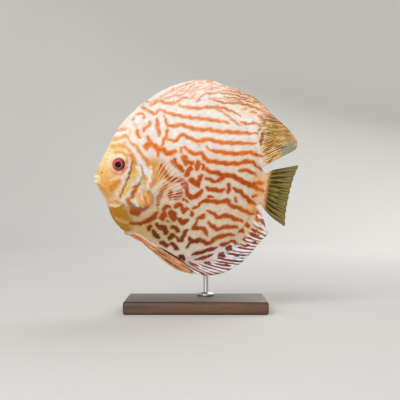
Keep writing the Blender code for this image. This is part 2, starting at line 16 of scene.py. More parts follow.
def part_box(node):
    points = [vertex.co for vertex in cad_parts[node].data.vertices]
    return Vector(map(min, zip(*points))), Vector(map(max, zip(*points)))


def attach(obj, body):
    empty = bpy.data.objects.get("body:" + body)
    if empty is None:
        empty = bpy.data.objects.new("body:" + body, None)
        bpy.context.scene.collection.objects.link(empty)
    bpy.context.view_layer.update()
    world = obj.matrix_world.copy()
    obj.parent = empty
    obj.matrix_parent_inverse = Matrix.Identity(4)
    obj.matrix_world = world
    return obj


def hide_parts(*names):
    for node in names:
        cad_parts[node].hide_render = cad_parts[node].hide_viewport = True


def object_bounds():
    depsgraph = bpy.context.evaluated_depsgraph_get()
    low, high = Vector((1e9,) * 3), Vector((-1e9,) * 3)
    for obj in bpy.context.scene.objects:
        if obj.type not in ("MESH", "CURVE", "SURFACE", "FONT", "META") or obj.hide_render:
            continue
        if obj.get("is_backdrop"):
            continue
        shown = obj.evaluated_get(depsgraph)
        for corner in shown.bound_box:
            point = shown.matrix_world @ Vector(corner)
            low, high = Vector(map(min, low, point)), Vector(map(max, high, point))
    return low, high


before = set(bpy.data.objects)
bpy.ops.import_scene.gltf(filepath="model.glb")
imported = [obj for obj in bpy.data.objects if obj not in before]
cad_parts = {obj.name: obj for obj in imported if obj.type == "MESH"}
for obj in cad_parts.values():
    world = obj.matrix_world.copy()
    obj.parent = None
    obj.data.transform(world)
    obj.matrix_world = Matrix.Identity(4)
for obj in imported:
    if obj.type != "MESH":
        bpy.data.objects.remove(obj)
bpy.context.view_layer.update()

# The camera looks straight at the fish's left side, level with the middle of the photograph,
# from about five body lengths away.
camera_data = bpy.data.cameras.new("camera")
camera_data.lens = 85
camera_data.sensor_width = 36
camera_data.clip_start = 0.01
camera = bpy.data.objects.new("camera", camera_data)
camera.location = (0.0032, -0.7556, 0.088)
camera.rotation_euler = (math.radians(90), 0, 0)
bpy.context.scene.collection.objects.link(camera)
bpy.context.scene.camera = camera
bpy.context.scene.view_settings.view_transform = "Standard"

# The set is a pale matt cove, a round floor that curves up into a low wall all the way round,
# under a large soft lamp above and ahead of the fish, a weaker one low down and a pale sky.
FLOOR_RADIUS = 1.5
COVE_BEND = 0.5
COVE_WALL = 0.9
COVE_TURNS = 96


def moulded(name, points, layers=None):
    """A grid pulled to shape: rows of points in metres, joined wherever two of them meet."""
    rows, columns = points.shape[:2]
    bpy.ops.object.select_all(action="DESELECT")
    bpy.ops.mesh.primitive_grid_add(x_subdivisions=columns - 1, y_subdivisions=rows - 1, size=1)
    piece = bpy.context.object
    piece.name = piece.data.name = name
    piece.data.vertices.foreach_set("co", np.ascontiguousarray(points, float).reshape(-1))
    for layer, values in (layers or {}).items():
        made = piece.data.attributes.new(layer, "FLOAT", "POINT")
        made.data.foreach_set("value", np.ascontiguousarray(values, float).reshape(-1))
    piece.data.update()
    bpy.ops.object.mode_set(mode="EDIT")
    bpy.ops.mesh.select_all(action="SELECT")
    bpy.ops.mesh.remove_doubles(threshold=0.000001)
    bpy.ops.mesh.normals_make_consistent(inside=False)
    bpy.ops.object.mode_set(mode="OBJECT")
    bpy.ops.object.shade_smooth()
    return piece


class Finish:
    """A material under construction, with short calls for the nodes that it is made of."""

    def __init__(self, name, **settings):
        self.material = bpy.data.materials.new(name)
        self.material.use_nodes = True
        self.tree = self.material.node_tree
        self.shader = self.tree.nodes["Principled BSDF"]
        for socket, value in settings.items():
            self.shader.inputs[socket.replace("_", " ")].default_value = value

    def node(self, kind, **inputs):
        made = self.tree.nodes.new("ShaderNode" + kind)
        for socket, value in inputs.items():
            self.feed(made.inputs[socket.replace("_", " ")], value)
        return made

    def feed(self, socket, value):
        if isinstance(value, bpy.types.NodeSocket):
            self.tree.links.new(value, socket)
        else:
            socket.default_value = value

    def place(self, stretch=(1, 1, 1)):
        """The object's own coordinates, in metres, stretched for a pattern that runs one way."""
        source = self.node("TexCoord").outputs["Object"]
        return self.stretched(source, stretch)

    def stretched(self, source, stretch):
        mapping = self.node("Mapping", Vector=source)
        mapping.inputs["Scale"].default_value = stretch
        return mapping.outputs["Vector"]

    def map_of(self, name, stretch=(1, 1, 1)):
        made = self.node("UVMap")
        made.uv_map = name
        return self.stretched(made.outputs["UV"], stretch)

    def painted(self, name, colour=True):
        made = self.node("Attribute")
        made.attribute_name = name
        return made.outputs["Color" if colour else "Fac"]

    def noise(self, place, scale, detail=3.0, roughness=0.55):
        return self.node("TexNoise", Vector=place, Scale=scale, Detail=detail,
                         Roughness=roughness).outputs["Fac"]

    def math(self, operation, first, second=0.0):
        made = self.node("Math")
        made.operation = operation
        self.feed(made.inputs[0], first)
        self.feed(made.inputs[1], second)
        return made.outputs[0]

    def ramp(self, value, low, high, out_low=0.0, out_high=1.0):
        """A soft step: out_low below low, out_high above high."""
        made = self.node("MapRange", Value=value)
        made.interpolation_type = "SMOOTHSTEP"
        for socket, given in zip(("From Min", "From Max", "To Min", "To Max"),
                                 (low, high, out_low, out_high)):
            self.feed(made.inputs[socket], given)
        return made.outputs["Result"]

    def mix(self, share, first, second, blend="MIX"):
        made = self.node("Mix")
        made.data_type = "RGBA"
        made.blend_type = blend
        self.feed(made.inputs["Factor"], share)
        self.feed(made.inputs[6], first)
        self.feed(made.inputs[7], second)
        return made.outputs[2]

    def shade(self, colour, amount):
        """A colour made lighter or darker by a grey value about 1."""
        grey = self.node("CombineColor", Red=amount, Green=amount, Blue=amount).outputs[0]
        return self.mix(1.0, colour, grey, "MULTIPLY")

    def bump(self, height, strength, distance, below=None):
        made = self.node("Bump", Height=height, Strength=strength, Distance=distance)
        if below is not None:
            self.feed(made.inputs["Normal"], below)
        return made.outputs["Normal"]

    def wear(self, piece):
        piece.data.materials.clear()
        piece.data.materials.append(self.material)


def linear(code):
    """A colour written as six hex digits, as the shaders take it."""
    levels = [int(code[i:i + 2], 16) / 255 for i in (0, 2, 4)]
    return tuple(c / 12.92 if c <= 0.04045 else ((c + 0.055) / 1.055) ** 2.4 for c in levels)


bend = np.linspace(0, math.pi / 2, 13)
cove_radii = np.concatenate([[0, 0.3, 0.7], FLOOR_RADIUS - COVE_BEND * (1 - np.sin(bend)),
                             [FLOOR_RADIUS]])
cove_heights = np.concatenate([[0, 0, 0], COVE_BEND * (1 - np.cos(bend)), [COVE_WALL]])
turns = np.linspace(0, 2 * math.pi, COVE_TURNS + 1)
cove = moulded("cove", np.stack([
    cove_radii[:, None] * np.cos(turns), cove_radii[:, None] * np.sin(turns),
    np.repeat(cove_heights[:, None], len(turns), axis=1)], -1))
plaster = Finish("matt_plaster", Roughness=0.85)
cloud = plaster.noise(plaster.place(), 3.0)
plaster.feed(plaster.shader.inputs["Base Color"],
             plaster.mix(cloud, (*linear("e9e7e3"), 1), (*linear("f0eeea"), 1)))
plaster.feed(plaster.shader.inputs["Normal"],
             plaster.bump(plaster.noise(plaster.place(), 240.0), 0.05, 0.001))
plaster.wear(cove)
cove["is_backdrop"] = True

sky = bpy.data.worlds.new("sky")
sky.use_nodes = True
sky.node_tree.nodes["Background"].inputs["Color"].default_value = (*linear("f4f6f8"), 1)
sky.node_tree.nodes["Background"].inputs["Strength"].default_value = 0.3
bpy.context.scene.world = sky
for name, place, size, power in (("key", (-0.55, -0.95, 0.95), 0.9, 8.6),
                                 ("low", (-0.2, -1.05, 0.12), 0.8, 3.0),
                                 ("rear", (0.5, 0.95, 0.8), 0.9, 5.6)):
    lamp_data = bpy.data.lights.new(name, "AREA")
    lamp_data.size = size
    lamp_data.energy = power
    lamp = bpy.data.objects.new(name, lamp_data)
    lamp.location = place
    lamp.rotation_euler = (Vector((0, 0, 0.1)) - Vector(place)).to_track_quat("-Z", "Y").to_euler()
    bpy.context.scene.collection.objects.link(lamp)

# The body of a discus is a tall flat disc of flesh under one tight skin. Its outline over the
# back and belly and its half width along the fish are those of the solids, and the skin lies
# just inside them, as the scales stand on it.
MM = 0.001
DISC_HEIGHT = 106.0
COAT_DEPTH = 0.16
CROWN = [
    (-79.3, 2.4), (-78.2, 8.4), (-74.0, 17.2), (-67.6, 30.0), (-60.0, 42.8), (-49.6, 53.2),
    (-36.0, 61.0), (-19.2, 65.6), (-1.0, 65.2), (16.8, 60.0), (28.0, 53.6), (37.6, 45.2),
    (44.0, 35.6), (48.0, 25.2), (50.4, 14.8), (53.2, 5.6), (57.2, 2.4),
]
KEEL = [
    (-79.2, -5.0), (-77.0, -10.4), (-72.4, -17.4), (-70.0, -25.0), (-65.8, -34.4), (-55.2, -44.8),
    (-40.0, -53.8), (-24.0, -61.2), (-9.0, -64.8), (6.4, -63.2), (18.0, -58.2), (28.0, -51.4),
    (36.4, -42.8), (42.4, -34.4), (49.2, -22.2), (53.2, -20.8),
]
BODY_HALF = [(0, 2.4), (0.04, 4.3), (0.09, 6.3), (0.15, 7.9), (0.22, 9.3), (0.30, 10.2),
             (0.42, 10.6), (0.55, 9.9), (0.70, 8.1), (0.82, 6.1), (0.92, 4.3), (1, 2.8)]
RIDGE_HALF = [(0, 0.6), (0.2, 0.7), (0.34, 1.4), (0.9, 1.4), (1, 0.8)]
SIDE_FALL = [(0, 0.5), (0.1, 0.6), (0.25, 0.75), (0.4, 0.9), (0.9, 0.85), (1, 0.7)]
CURVE_STEPS = 24


def smooth_line(points, count):
    """Points at even steps along a smooth curve through the given ones."""
    given = np.array(points, float)
    padded = np.concatenate([2 * given[:1] - given[1:2], given, 2 * given[-1:] - given[-2:-1]])
    fine = []
    for p0, p1, p2, p3 in zip(padded, padded[1:], padded[2:], padded[3:]):
        k1 = np.linalg.norm(p1 - p0) ** 0.5
        k2 = k1 + np.linalg.norm(p2 - p1) ** 0.5
        k3 = k2 + np.linalg.norm(p3 - p2) ** 0.5
        k = np.linspace(k1, k2, CURVE_STEPS, endpoint=False)[:, None]
        a1 = (p0 * (k1 - k) + p1 * k) / k1
        a2 = (p1 * (k2 - k) + p2 * (k - k1)) / (k2 - k1)
        a3 = (p2 * (k3 - k) + p3 * (k - k2)) / (k3 - k2)
        b1 = (a1 * (k2 - k) + a2 * k) / k2
        b2 = (a2 * (k3 - k) + a3 * (k - k1)) / (k3 - k1)
        fine.append((b1 * (k2 - k) + b2 * (k - k1)) / (k2 - k1))
    fine = np.concatenate([*fine, given[-1:]])
    return at_share(fine, np.linspace(0, 1, count))


def at_share(line, share):
    """The points at these shares of a polyline's length."""
    steps = np.linalg.norm(np.diff(line, axis=0), axis=1)
    travelled = np.concatenate([[0], np.cumsum(steps)]) / steps.sum()
    return np.stack([np.interp(share, travelled, line[:, i]) for i in range(line.shape[1])], -1)


def share_near(line, point):
    """The share of a polyline's length that lies nearest to a point."""
    shares = np.linspace(0, 1, 2001)
    away = np.linalg.norm(at_share(line, shares) - np.array(point), axis=1)
    return float(shares[away.argmin()])


def eased(table, at):
    """A smooth value read from a short table."""
    knots = np.array(table, float)
    slopes = np.gradient(knots[:, 1], knots[:, 0])
    at = np.clip(at, knots[0, 0], knots[-1, 0])
    i = np.clip(np.searchsorted(knots[:, 0], at, side="right") - 1, 0, len(knots) - 2)
    span = knots[i + 1, 0] - knots[i, 0]
    t = (at - knots[i, 0]) / span
    start = (2 * t**3 - 3 * t**2 + 1) * knots[i, 1] + (t**3 - 2 * t**2 + t) * span * slopes[i]
    end = (3 * t**2 - 2 * t**3) * knots[i + 1, 1] + (t**3 - t**2) * span * slopes[i + 1]
    return start + end


def step_between(value, low, high):
    """A soft step from 0 at low to 1 at high."""
    t = np.clip((value - low) / (high - low), 0, 1)
    return t * t * (3 - 2 * t)


def placed(points):
    """Disc millimetres to metres above the floor."""
    return (np.array(points, float) + (0, 0, DISC_HEIGHT)) * MM


crown = smooth_line(CROWN, 400)
keel = smooth_line(KEEL, 400)


def body_surface(u, s, sign):
    """Points of the bare body: u along it, s from keel (-1) to crown (1), sign for the side."""
    low, high = at_share(keel, u), at_share(crown, u)
    tall = np.linalg.norm(high - low, axis=-1) / 2
    s_in = s * (1 - COAT_DEPTH / tall)
    ridge = eased(RIDGE_HALF, u)
    edge = np.clip((np.abs(s) - 1 + ridge / tall) * tall / ridge, 0, 1)
    half = (eased(BODY_HALF, u) - ridge) * (1 - s * s) ** eased(SIDE_FALL, u)
    half = np.maximum(half + ridge * np.sqrt(1 - edge**2) - COAT_DEPTH * (1 - edge), 0)
    spine = low + (high - low) * ((s_in + 1) / 2)[..., None]
    return np.stack([spine[..., 0], sign * half, spine[..., 1]], -1)

# The markings are pigment in the skin: rust and salmon stripes on a near white ground, with
# soft ochre bands on the head. Ground and stripes are paler over the back and browner and darker
# towards the belly, partly pigment and partly painted shade. They are laid out once, on a side
# plan of the fish, and the skin, the scales, the eye rims, the fin pads and the dorsal and anal
# fins take them from it.
PHOTO_MM = 0.8
PHOTO_MIDDLE = (196.0, 177.5)
PLAN_STEP = 0.25
NO_STRIPE = 9.0
STRIPE_SWELL = 1.32
# Stripes and spots: half width, then points along the middle
STRIPES = [
    (1.1, [(150.8, 106), (154.4, 103.2), (158, 101.2), (162, 102), (166, 103.5), (170.5, 104),
          (175, 103), (178.4, 100.8), (183.4, 98.4), (187, 98)]),
    (0.7, [(171, 96.6), (176, 95.8), (180, 95.3), (184.5, 93.5), (187, 90.5), (189.5, 87.6),
          (194, 85.2)]),
    (1.3, [(178.2, 104.8), (181, 106.4), (185, 107.6), (190, 107.8), (194.7, 108.7),
          (201.5, 108.5), (208, 107.5), (213, 107.6), (218.7, 107.4), (224.7, 108.8), (230, 110.8),
          (234.7, 112.8), (238, 114.7), (240, 116.7)]),
    (0.85, [(214, 108.6), (219.3, 111), (224, 113.4), (228, 116.7), (232, 120), (236, 123.2),
          (240.7, 126)]),
    (1.1, [(141.2, 106.8), (145, 109.2), (149.2, 111.5), (153.9, 114.6), (155.8, 114.3)]),
    (0.9, [(155.5, 114), (157.5, 112), (160, 110), (162.5, 111.5)]),
    (1.4, [(162.5, 111.3), (165.6, 112.6), (170.4, 114.4), (177.6, 115.8), (184, 117.5),
          (190, 118), (194.7, 118.7), (201.4, 119.3), (208, 120), (214.7, 121), (221.3, 121.8),
          (226, 122.8), (229, 123.6)]),
    (0.9, [(136.4, 114.6), (140, 114), (143, 114.8), (144.3, 116.8), (144, 119)]),
    (1.6, [(164.3, 115.5), (165.2, 119.6), (166.4, 123.2), (168.6, 125.8), (171.5, 127),
          (175.6, 126.5), (179.2, 125.3), (182.7, 125.8), (186.8, 127.2), (191.5, 128.9),
          (196, 129.7), (201.3, 130.4), (208, 130.1), (214.7, 131.4), (221.3, 132.5),
          (225.5, 132.3), (232, 132.8), (241.3, 133.1), (248, 133.3), (257.3, 133.4)]),
    (1.2, [(167.4, 126.9), (167.4, 131), (166.8, 135.6), (165.6, 138.2), (164, 141.2),
          (163, 144.3), (161.5, 147.5)]),
    (1.6, [(166.9, 137.6), (168.2, 140), (171, 141.1), (174.4, 141.5), (177.2, 140.6),
          (178.8, 138), (180.3, 136), (182.4, 135.3), (185, 136.6), (190, 138.8), (194.8, 141),
          (199, 142.1), (203.8, 140.6), (207.4, 140), (212.5, 140.9), (217.6, 142.4), (223, 143.1),
          (233, 143.4), (243.3, 143.5), (250, 143.8), (255.6, 143.2)]),
    (0.6, [(195.3, 142.8), (198.9, 145.6)]),
    (1.6, [(206.9, 147.9), (209.4, 150.2), (214, 152), (219, 152.2), (224, 153.2), (230.5, 153.8),
          (238.2, 154), (243.3, 153.4), (248.4, 152.7), (253.5, 153.8), (258.2, 156), (262, 156)]),
    (1.1, [(208.5, 98.6), (215, 100.2), (220.7, 102.3), (228, 103.2), (233, 102.6), (239.7, 103.2),
          (246.4, 105.3), (253.5, 108.3), (258.7, 110.8)]),
    (1.1, [(240.6, 121.6), (243.5, 123.4), (248.7, 123.8), (253, 123.6), (257.5, 123.2)]),
    (1.0, [(249, 113.2), (253.5, 112.8), (256.5, 113.5)]),
    (1.4, [(257.2, 117.3), (261, 118), (263.5, 120.5), (264.5, 124)]),
    (1.4, [(263.6, 131.5), (262.8, 135.5), (261.4, 140), (260.6, 144.5)]),
    (0.9, [(257.5, 126), (259.5, 125), (260.5, 128), (258.8, 131)]),
    (0.5, [(214, 98), (221, 98.5), (228, 99.6), (236, 100.4), (243, 102.4)]),
    (0.7, [(241.5, 109.4), (246, 109.2)]),
    (0.8, [(145.5, 100.6), (149, 101.6)]),
    (0.5, [(177, 90.3), (181, 90.6), (185, 91), (187, 90.5)]),
    (0.5, [(172, 88.4), (174, 87.4)]),
    (1.7, [(184, 147.6), (188.2, 150.7), (190.7, 153.2), (195.3, 154.4), (201.2, 154),
          (203.3, 156.5), (205.3, 159.9), (210, 161.6), (215, 162.2), (222.8, 163.4), (228, 164),
          (233, 163.7), (238.2, 163.8), (242.3, 162.7), (247.4, 161.6), (252.5, 162.9),
          (255.6, 165.6), (258.7, 168.3), (262.3, 170)]),
    (1.5, [(238.7, 171.2), (242.3, 170.3), (247.4, 171), (251.5, 172.8), (255, 174.9)]),
    (1.9, [(205.8, 168.3), (207.4, 171.4), (212.5, 172.4), (217.6, 173.4), (222.8, 175.5),
          (228, 175.5), (233, 176.6), (238.2, 179.6), (243.3, 182.2), (247.4, 184.2),
          (251.5, 185.8), (255, 187.8), (258.7, 189.3), (262.8, 191.4)]),
    (1.2, [(203, 166.2), (203, 169.2)]),
    (1.3, [(205.3, 178.2), (209, 179.5), (212.5, 181), (215.5, 181.8)]),
    (1.8, [(217, 181.8), (220, 179.4), (222.6, 178.4)]),
    (2.3, [(190.6, 180), (192.6, 181.4), (195.6, 183.4), (198.6, 185.6)]),
    (1.9, [(198.4, 181.4), (199.8, 178.6), (201.2, 176)]),
    (1.8, [(206.4, 187.8), (209.4, 189.3), (215, 190), (220.7, 190.8), (223.8, 189.7)]),
    (1.5, [(228.6, 184.4), (228.2, 188.2), (227.9, 193)]),
    (1.8, [(232.5, 188.2), (235.6, 190.3), (239.2, 191.5), (242.3, 194.4), (245.3, 197.4),
          (248.4, 200), (251, 202.4), (254, 203.6)]),
    (2.0, [(187, 195), (190.5, 197), (194, 197), (197.4, 195.4), (199.6, 193.4), (201.4, 190.4)]),
    (1.3, [(235, 198.7), (235.2, 201)]),
    (1.3, [(252.5, 196.2), (255.2, 195.4)]),
    (1.7, [(195.2, 207.2), (198.2, 206), (200.2, 203), (203.3, 201.2), (207.4, 200.8),
          (212.5, 201.3), (217.6, 202), (222.8, 201.8), (227.9, 200.8), (229, 204.1), (231, 206.2),
          (235.6, 206.9), (240.7, 209.2), (245.8, 211.8), (251, 213.6), (254, 214.4)]),
    (1.7, [(206.7, 211.2), (211, 212.3), (214, 214.4), (216.2, 216.4), (219.9, 217.2),
          (224, 215.6), (229, 216), (233.7, 218.4), (238.8, 220), (242.4, 220.9)]),
    (1.6, [(207.6, 222.4), (210.6, 224.5), (213.7, 227.1), (216.3, 229), (219.9, 228.1),
          (224, 227.1), (229.1, 226.5), (233.2, 227.1), (237.3, 226.8)]),
    (1.4, [(258.6, 183), (261, 183.5)]),
    (2.3, [(146.6, 149), (147.2, 146.4), (149, 145), (150.4, 142)]),
    (1.2, [(148.2, 137.4), (149.4, 140.2)]),
    (2.2, [(149.7, 144.6), (153.8, 145.6), (156.6, 148), (160, 150), (163.6, 150.2),
          (165.5, 152.4), (168.4, 153.8), (171.4, 153.6), (175.6, 151.8)]),
    (1.1, [(158, 151), (158.7, 154), (158.4, 157)]),
    (1.6, [(157.1, 119.4), (157.4, 123.8), (157.8, 127.5), (158.6, 131), (159.8, 135.6)]),
    (1.3, [(150.3, 121.8), (150.4, 124.6), (147.4, 126.9), (145, 129.2), (143.6, 132)]),
    (0.9, [(137.6, 131), (138.2, 133)]),
    (1.5, [(137.8, 132), (138.8, 135), (140.2, 138)]),
    (0.9, [(132.8, 119.7), (134, 118.2)]),
    (1.2, [(181.5, 148.4), (181.2, 153)]),
    (2.3, [(184, 156.6), (184.8, 160), (185.6, 164)]),
    (1.8, [(185.6, 163.4), (188.4, 162.6), (191, 163.2), (192.6, 164.6)]),
    (2.2, [(172, 161.6), (176, 165), (180, 168.2), (183, 171)]),
    (1.3, [(174.4, 159.4), (174.6, 161.6)]),
    (2.1, [(198.2, 162), (197.8, 165.6), (196.6, 170)]),
    (1.9, [(190.8, 167.4), (189, 170.6), (187.4, 173.4), (185.8, 175.8)]),
    (2.0, [(161.4, 165.4), (162.8, 169.4), (165.4, 173)]),
    (2.2, [(165.6, 173.4), (168, 177.2), (170.4, 180), (174, 179.6), (178, 180), (182, 181.6),
          (184.6, 185), (186.4, 190), (187, 194)]),
    (1.7, [(167.5, 185.5), (164.5, 188), (161.8, 192), (160.2, 196), (158.8, 200)]),
    (1.8, [(170.5, 192), (170.4, 194.6), (170.2, 197.4)]),
    (2.5, [(175.8, 198.2), (177.6, 195.4), (180.6, 192.6)]),
    (1.6, [(164.6, 212.4), (164.6, 208.8), (166, 206.2), (168.6, 205.8), (170.4, 207.4)]),
    (2.1, [(176, 206.6), (178.6, 204.4), (181.4, 206)]),
    (1.7, [(181.6, 208.4), (184.4, 210), (183.6, 213)]),
    (1.3, [(191.4, 211.8), (192, 215.4)]),
    (2.5, [(162.4, 217.6), (164, 214.4)]),
    (3.0, [(171.4, 212.6), (173, 215.4), (173.6, 218)]),
    (2.1, [(179, 218.6), (181, 221.4), (184.4, 221.8), (187, 219.8)]),
    (2.0, [(198.5, 217.6), (200.6, 217.2), (203.4, 215.4)]),
    (1.1, [(198.3, 218.8), (196.3, 221.4), (194.7, 224.8), (192.2, 228.6)]),
    (1.6, [(191.7, 229.1), (195.3, 228.1), (199.4, 227.6), (202.9, 228.6), (205.5, 231.7),
          (207.1, 235.3)]),
    (1.8, [(149.4, 228.6), (150.2, 226.6)]),
    (1.6, [(157, 224.6), (159, 227)]),
    (2.5, [(161, 226.6), (164.4, 229), (166.4, 232.4)]),
    (2.2, [(154, 231.6), (155.6, 234.6), (158, 237)]),
    (2.0, [(169.4, 238.4), (171.4, 236), (174, 234.6)]),
    (1.6, [(179, 238.9), (181.6, 240.2), (183, 236), (185.1, 232.2), (187.2, 229.6)]),
    (1.9, [(171.6, 226.6), (175, 227.6), (178.4, 230.6)]),
    (1.8, [(161, 241.6), (164, 244), (168, 245.4)]),
    (1.7, [(170.4, 243.6), (174, 244.6), (177, 249.4)]),
    (1.7, [(187, 247.6), (188.1, 244.5), (191.2, 241.9), (195.3, 240.9), (200.4, 239.6),
          (202.8, 241.4), (206.5, 242.9), (210.1, 242.4), (213.2, 239.4), (218.3, 236.8),
          (224, 235.3), (229.1, 234.5), (233.6, 234.7)]),
    (1.5, [(191.7, 254.7), (196.8, 253.2), (201.9, 251.7), (207.1, 250.1), (212.2, 248.6),
          (216.8, 247.1)]),
    (2.0, [(143.6, 221.4), (148, 220.6), (151.4, 218.6), (154.4, 216.2), (157, 212.8)]),
    (1.3, [(130.3, 223), (133.3, 223), (136.9, 223.5), (140, 223.6), (143, 223.2)]),
    (2.6, [(132.4, 211.6), (136, 212.6), (139, 212.6)]),
    (1.5, [(189.4, 238.2), (190.6, 239.4)]),
    (2.0, [(180.6, 256.4), (183.2, 258)]),
    (2.0, [(252.4, 184.6), (254.4, 184)]),
    (1.5, [(136.6, 188), (134.9, 192), (132.6, 197.4)]),
    (1.6, [(130.6, 203.6), (129.4, 201.8)]),
    (1.2, [(158.3, 196), (158.4, 204.6)]),
    (1.0, [(206.9, 197.2), (210, 196.6), (213, 196.8)]),
    (1.2, [(150.8, 186.8), (153.6, 183.6), (155.4, 180.2)]),
    (1.3, [(203, 166), (203, 169)]),
    (1.1, [(183, 198.8), (183.4, 200)]),
    (1.0, [(182.4, 187.4), (186, 189.4)]),
    (1.2, [(186.4, 208), (187.6, 209.4)]),
    (1.3, [(176.6, 237.6), (178.4, 240)]),
    (0.9, [(185.6, 200.4), (187.4, 202)]),
    (0.8, [(167.6, 220.6), (169, 221.6)]),
    (1.2, [(193.8, 207.6), (196.4, 206.8)]),
    (0.8, [(222.8, 96.5), (230.5, 97), (238.2, 98.6), (243.3, 99.6), (248.4, 102.2), (255, 104.2)]),
    (0.8, [(216.6, 91.9), (224.8, 93), (232, 93.6), (237, 95), (243.3, 97.6), (251, 99)]),
    (0.8, [(220.7, 89.9), (228, 89.9), (233, 90.9), (238.2, 91.9), (241.2, 93.5), (247.4, 95.5),
          (253.5, 98)]),
    (0.4, [(216.6, 86), (222.8, 86.5), (228, 87.3)]),
    (0.8, [(205.5, 82), (209, 82.4), (212.5, 81.2)]),
    (0.4, [(200.2, 90.4), (206.4, 87.6), (211.5, 86.2)]),
    (0.4, [(203, 92.4), (210.5, 89.8), (216, 88.6), (219, 87.4)]),
    (0.8, [(190.4, 99.2), (193, 97), (196, 94)]),
    (1.3, [(197, 100.8), (199, 100)]),
    (0.75, [(197.8, 100.6), (199.5, 98.5), (201.5, 96), (204, 94.6), (208, 93.8), (213, 93.4),
          (218, 92.8)]),
    (0.4, [(190, 89.6), (196, 87.6), (203, 85.8)]),
    (0.5, [(182.8, 85.8), (186.7, 84.6)]),
    (0.5, [(171.3, 88.8), (174.5, 87.4)]),
    (0.4, [(176, 91.2), (181, 89.6), (186, 87)]),
    (0.5, [(196.5, 84), (200, 83.4), (204.4, 84.4)]),
    (0.9, [(251, 97.2), (256, 100.2), (259.7, 101.8)]),
    (0.9, [(252.5, 101.2), (258.2, 103.7), (262.8, 105.4)]),
    (0.9, [(262.8, 107.8), (268, 110), (271, 111.6)]),
    (0.9, [(255, 108.3), (260.2, 111), (264.8, 114), (272, 115.6)]),
    (0.9, [(262, 118.5), (268, 120), (276, 121.4)]),
    (0.9, [(264.5, 116.4), (270, 117.2), (275, 118.4)]),
    (0.5, [(226, 86.8), (234, 88.8), (240, 90.4), (246, 92.8)]),
    (0.4, [(189, 94.5), (194, 91.8), (200, 89.8)]),
    (0.4, [(163, 99.4), (170, 96.6), (178, 93), (184, 90.4)]),
    (0.4, [(186, 93.8), (192, 90.6), (199, 87.6)]),
    (0.4, [(205, 91), (212, 88.2), (218, 87)]),
    (0.35, [(158, 99.4), (166, 94.8), (174, 91.2)]),
    (0.35, [(178, 87.4), (186, 84.6), (193, 83.4)]),
    (0.35, [(208, 84.6), (218, 85), (226, 86)]),
    (1.4, [(219.3, 244.9), (223, 244.4), (226, 243.4), (229.3, 241.8)]),
    (1.3, [(195.3, 258.9), (200.4, 258.8), (205.5, 256.8), (210.6, 255), (213.2, 254.5)]),
    (1.5, [(230, 241), (232.6, 241.2), (235.6, 242.6), (238.8, 244)]),
    (2.1, [(227.6, 248.6), (230.4, 247.8)]),
    (2.3, [(220.4, 255), (222.4, 254.6)]),
    (1.4, [(239.4, 247.6), (244, 247.1), (249.1, 245.7)]),
    (1.0, [(228.6, 253.7), (233.7, 254.2), (238.8, 256.3)]),
    (1.2, [(218.3, 257.8), (225, 259.9), (231.2, 261.4), (236.3, 262.4)]),
    (1.1, [(205.5, 262.9), (210.6, 264), (216.8, 265), (224, 265), (230.1, 265)]),
    (1.1, [(188.1, 261.9), (191.7, 264), (196.3, 266.5), (201.4, 269.1), (206.5, 271.7),
          (211.7, 273.2)]),
    (0.8, [(210.6, 271.7), (215.8, 272.2), (220.9, 273.2)]),
    (1.8, [(246, 225), (247.6, 225.4)]),
    (1.6, [(253, 230.2), (254.6, 231)]),
    (1.6, [(240.2, 231.2), (242.4, 231)]),
    (1.3, [(251.7, 234.2), (255.4, 235.6)]),
    (1.4, [(258.4, 237.4), (260.4, 238.6)]),
    (1.3, [(244.5, 239.4), (247.6, 241)]),
    (1.3, [(253.2, 242.4), (256, 243)]),
    (1.2, [(257, 211.8), (256.6, 218.6)]),
    (1.2, [(233, 218.5), (238.8, 220), (242.4, 220.9)]),
    (1.0, [(234.3, 254), (240, 254.8), (246, 256.2)]),
    (1.0, [(229.3, 261.6), (233.6, 262.4), (238, 262.8)]),
    (1.0, [(222.7, 267.6), (226, 268.4), (229.4, 269.2)]),
    (1.2, [(204.6, 262.4), (208.4, 262.8)]),
]
# Colours of the ground and of the stripes down the fish, each with its height in the photograph
# Both darken towards the belly: partly pigment, partly painted shade.
GROUND_DOWN = [(80, "fff2e8"), (104, "fbf1ea"), (120, "f8f2ed"), (143, "f5eae5"), (157, "ebdad0"), (171, "e2d0be"),
               (185, "dccab6"), (199, "dccbb6"), (213, "dac8b2"), (227, "d8c6aa"),
               (241, "d8c5b0"), (257, "e2d4cc"), (275, "e6dcdc")]
STRIPE_DOWN = [(80, "eab296"), (98, "eea47a"), (125, "ee9460"), (143, "ec8640"), (154, "e27428"),
               (163, "d06418"), (175, "be500a"), (190, "b24806"), (201, "b24c0a"), (213, "a6480c"),
               (227, "8e3c0e"), (241, "7e3410"), (257, "6e2e14"), (275, "5c2614")]
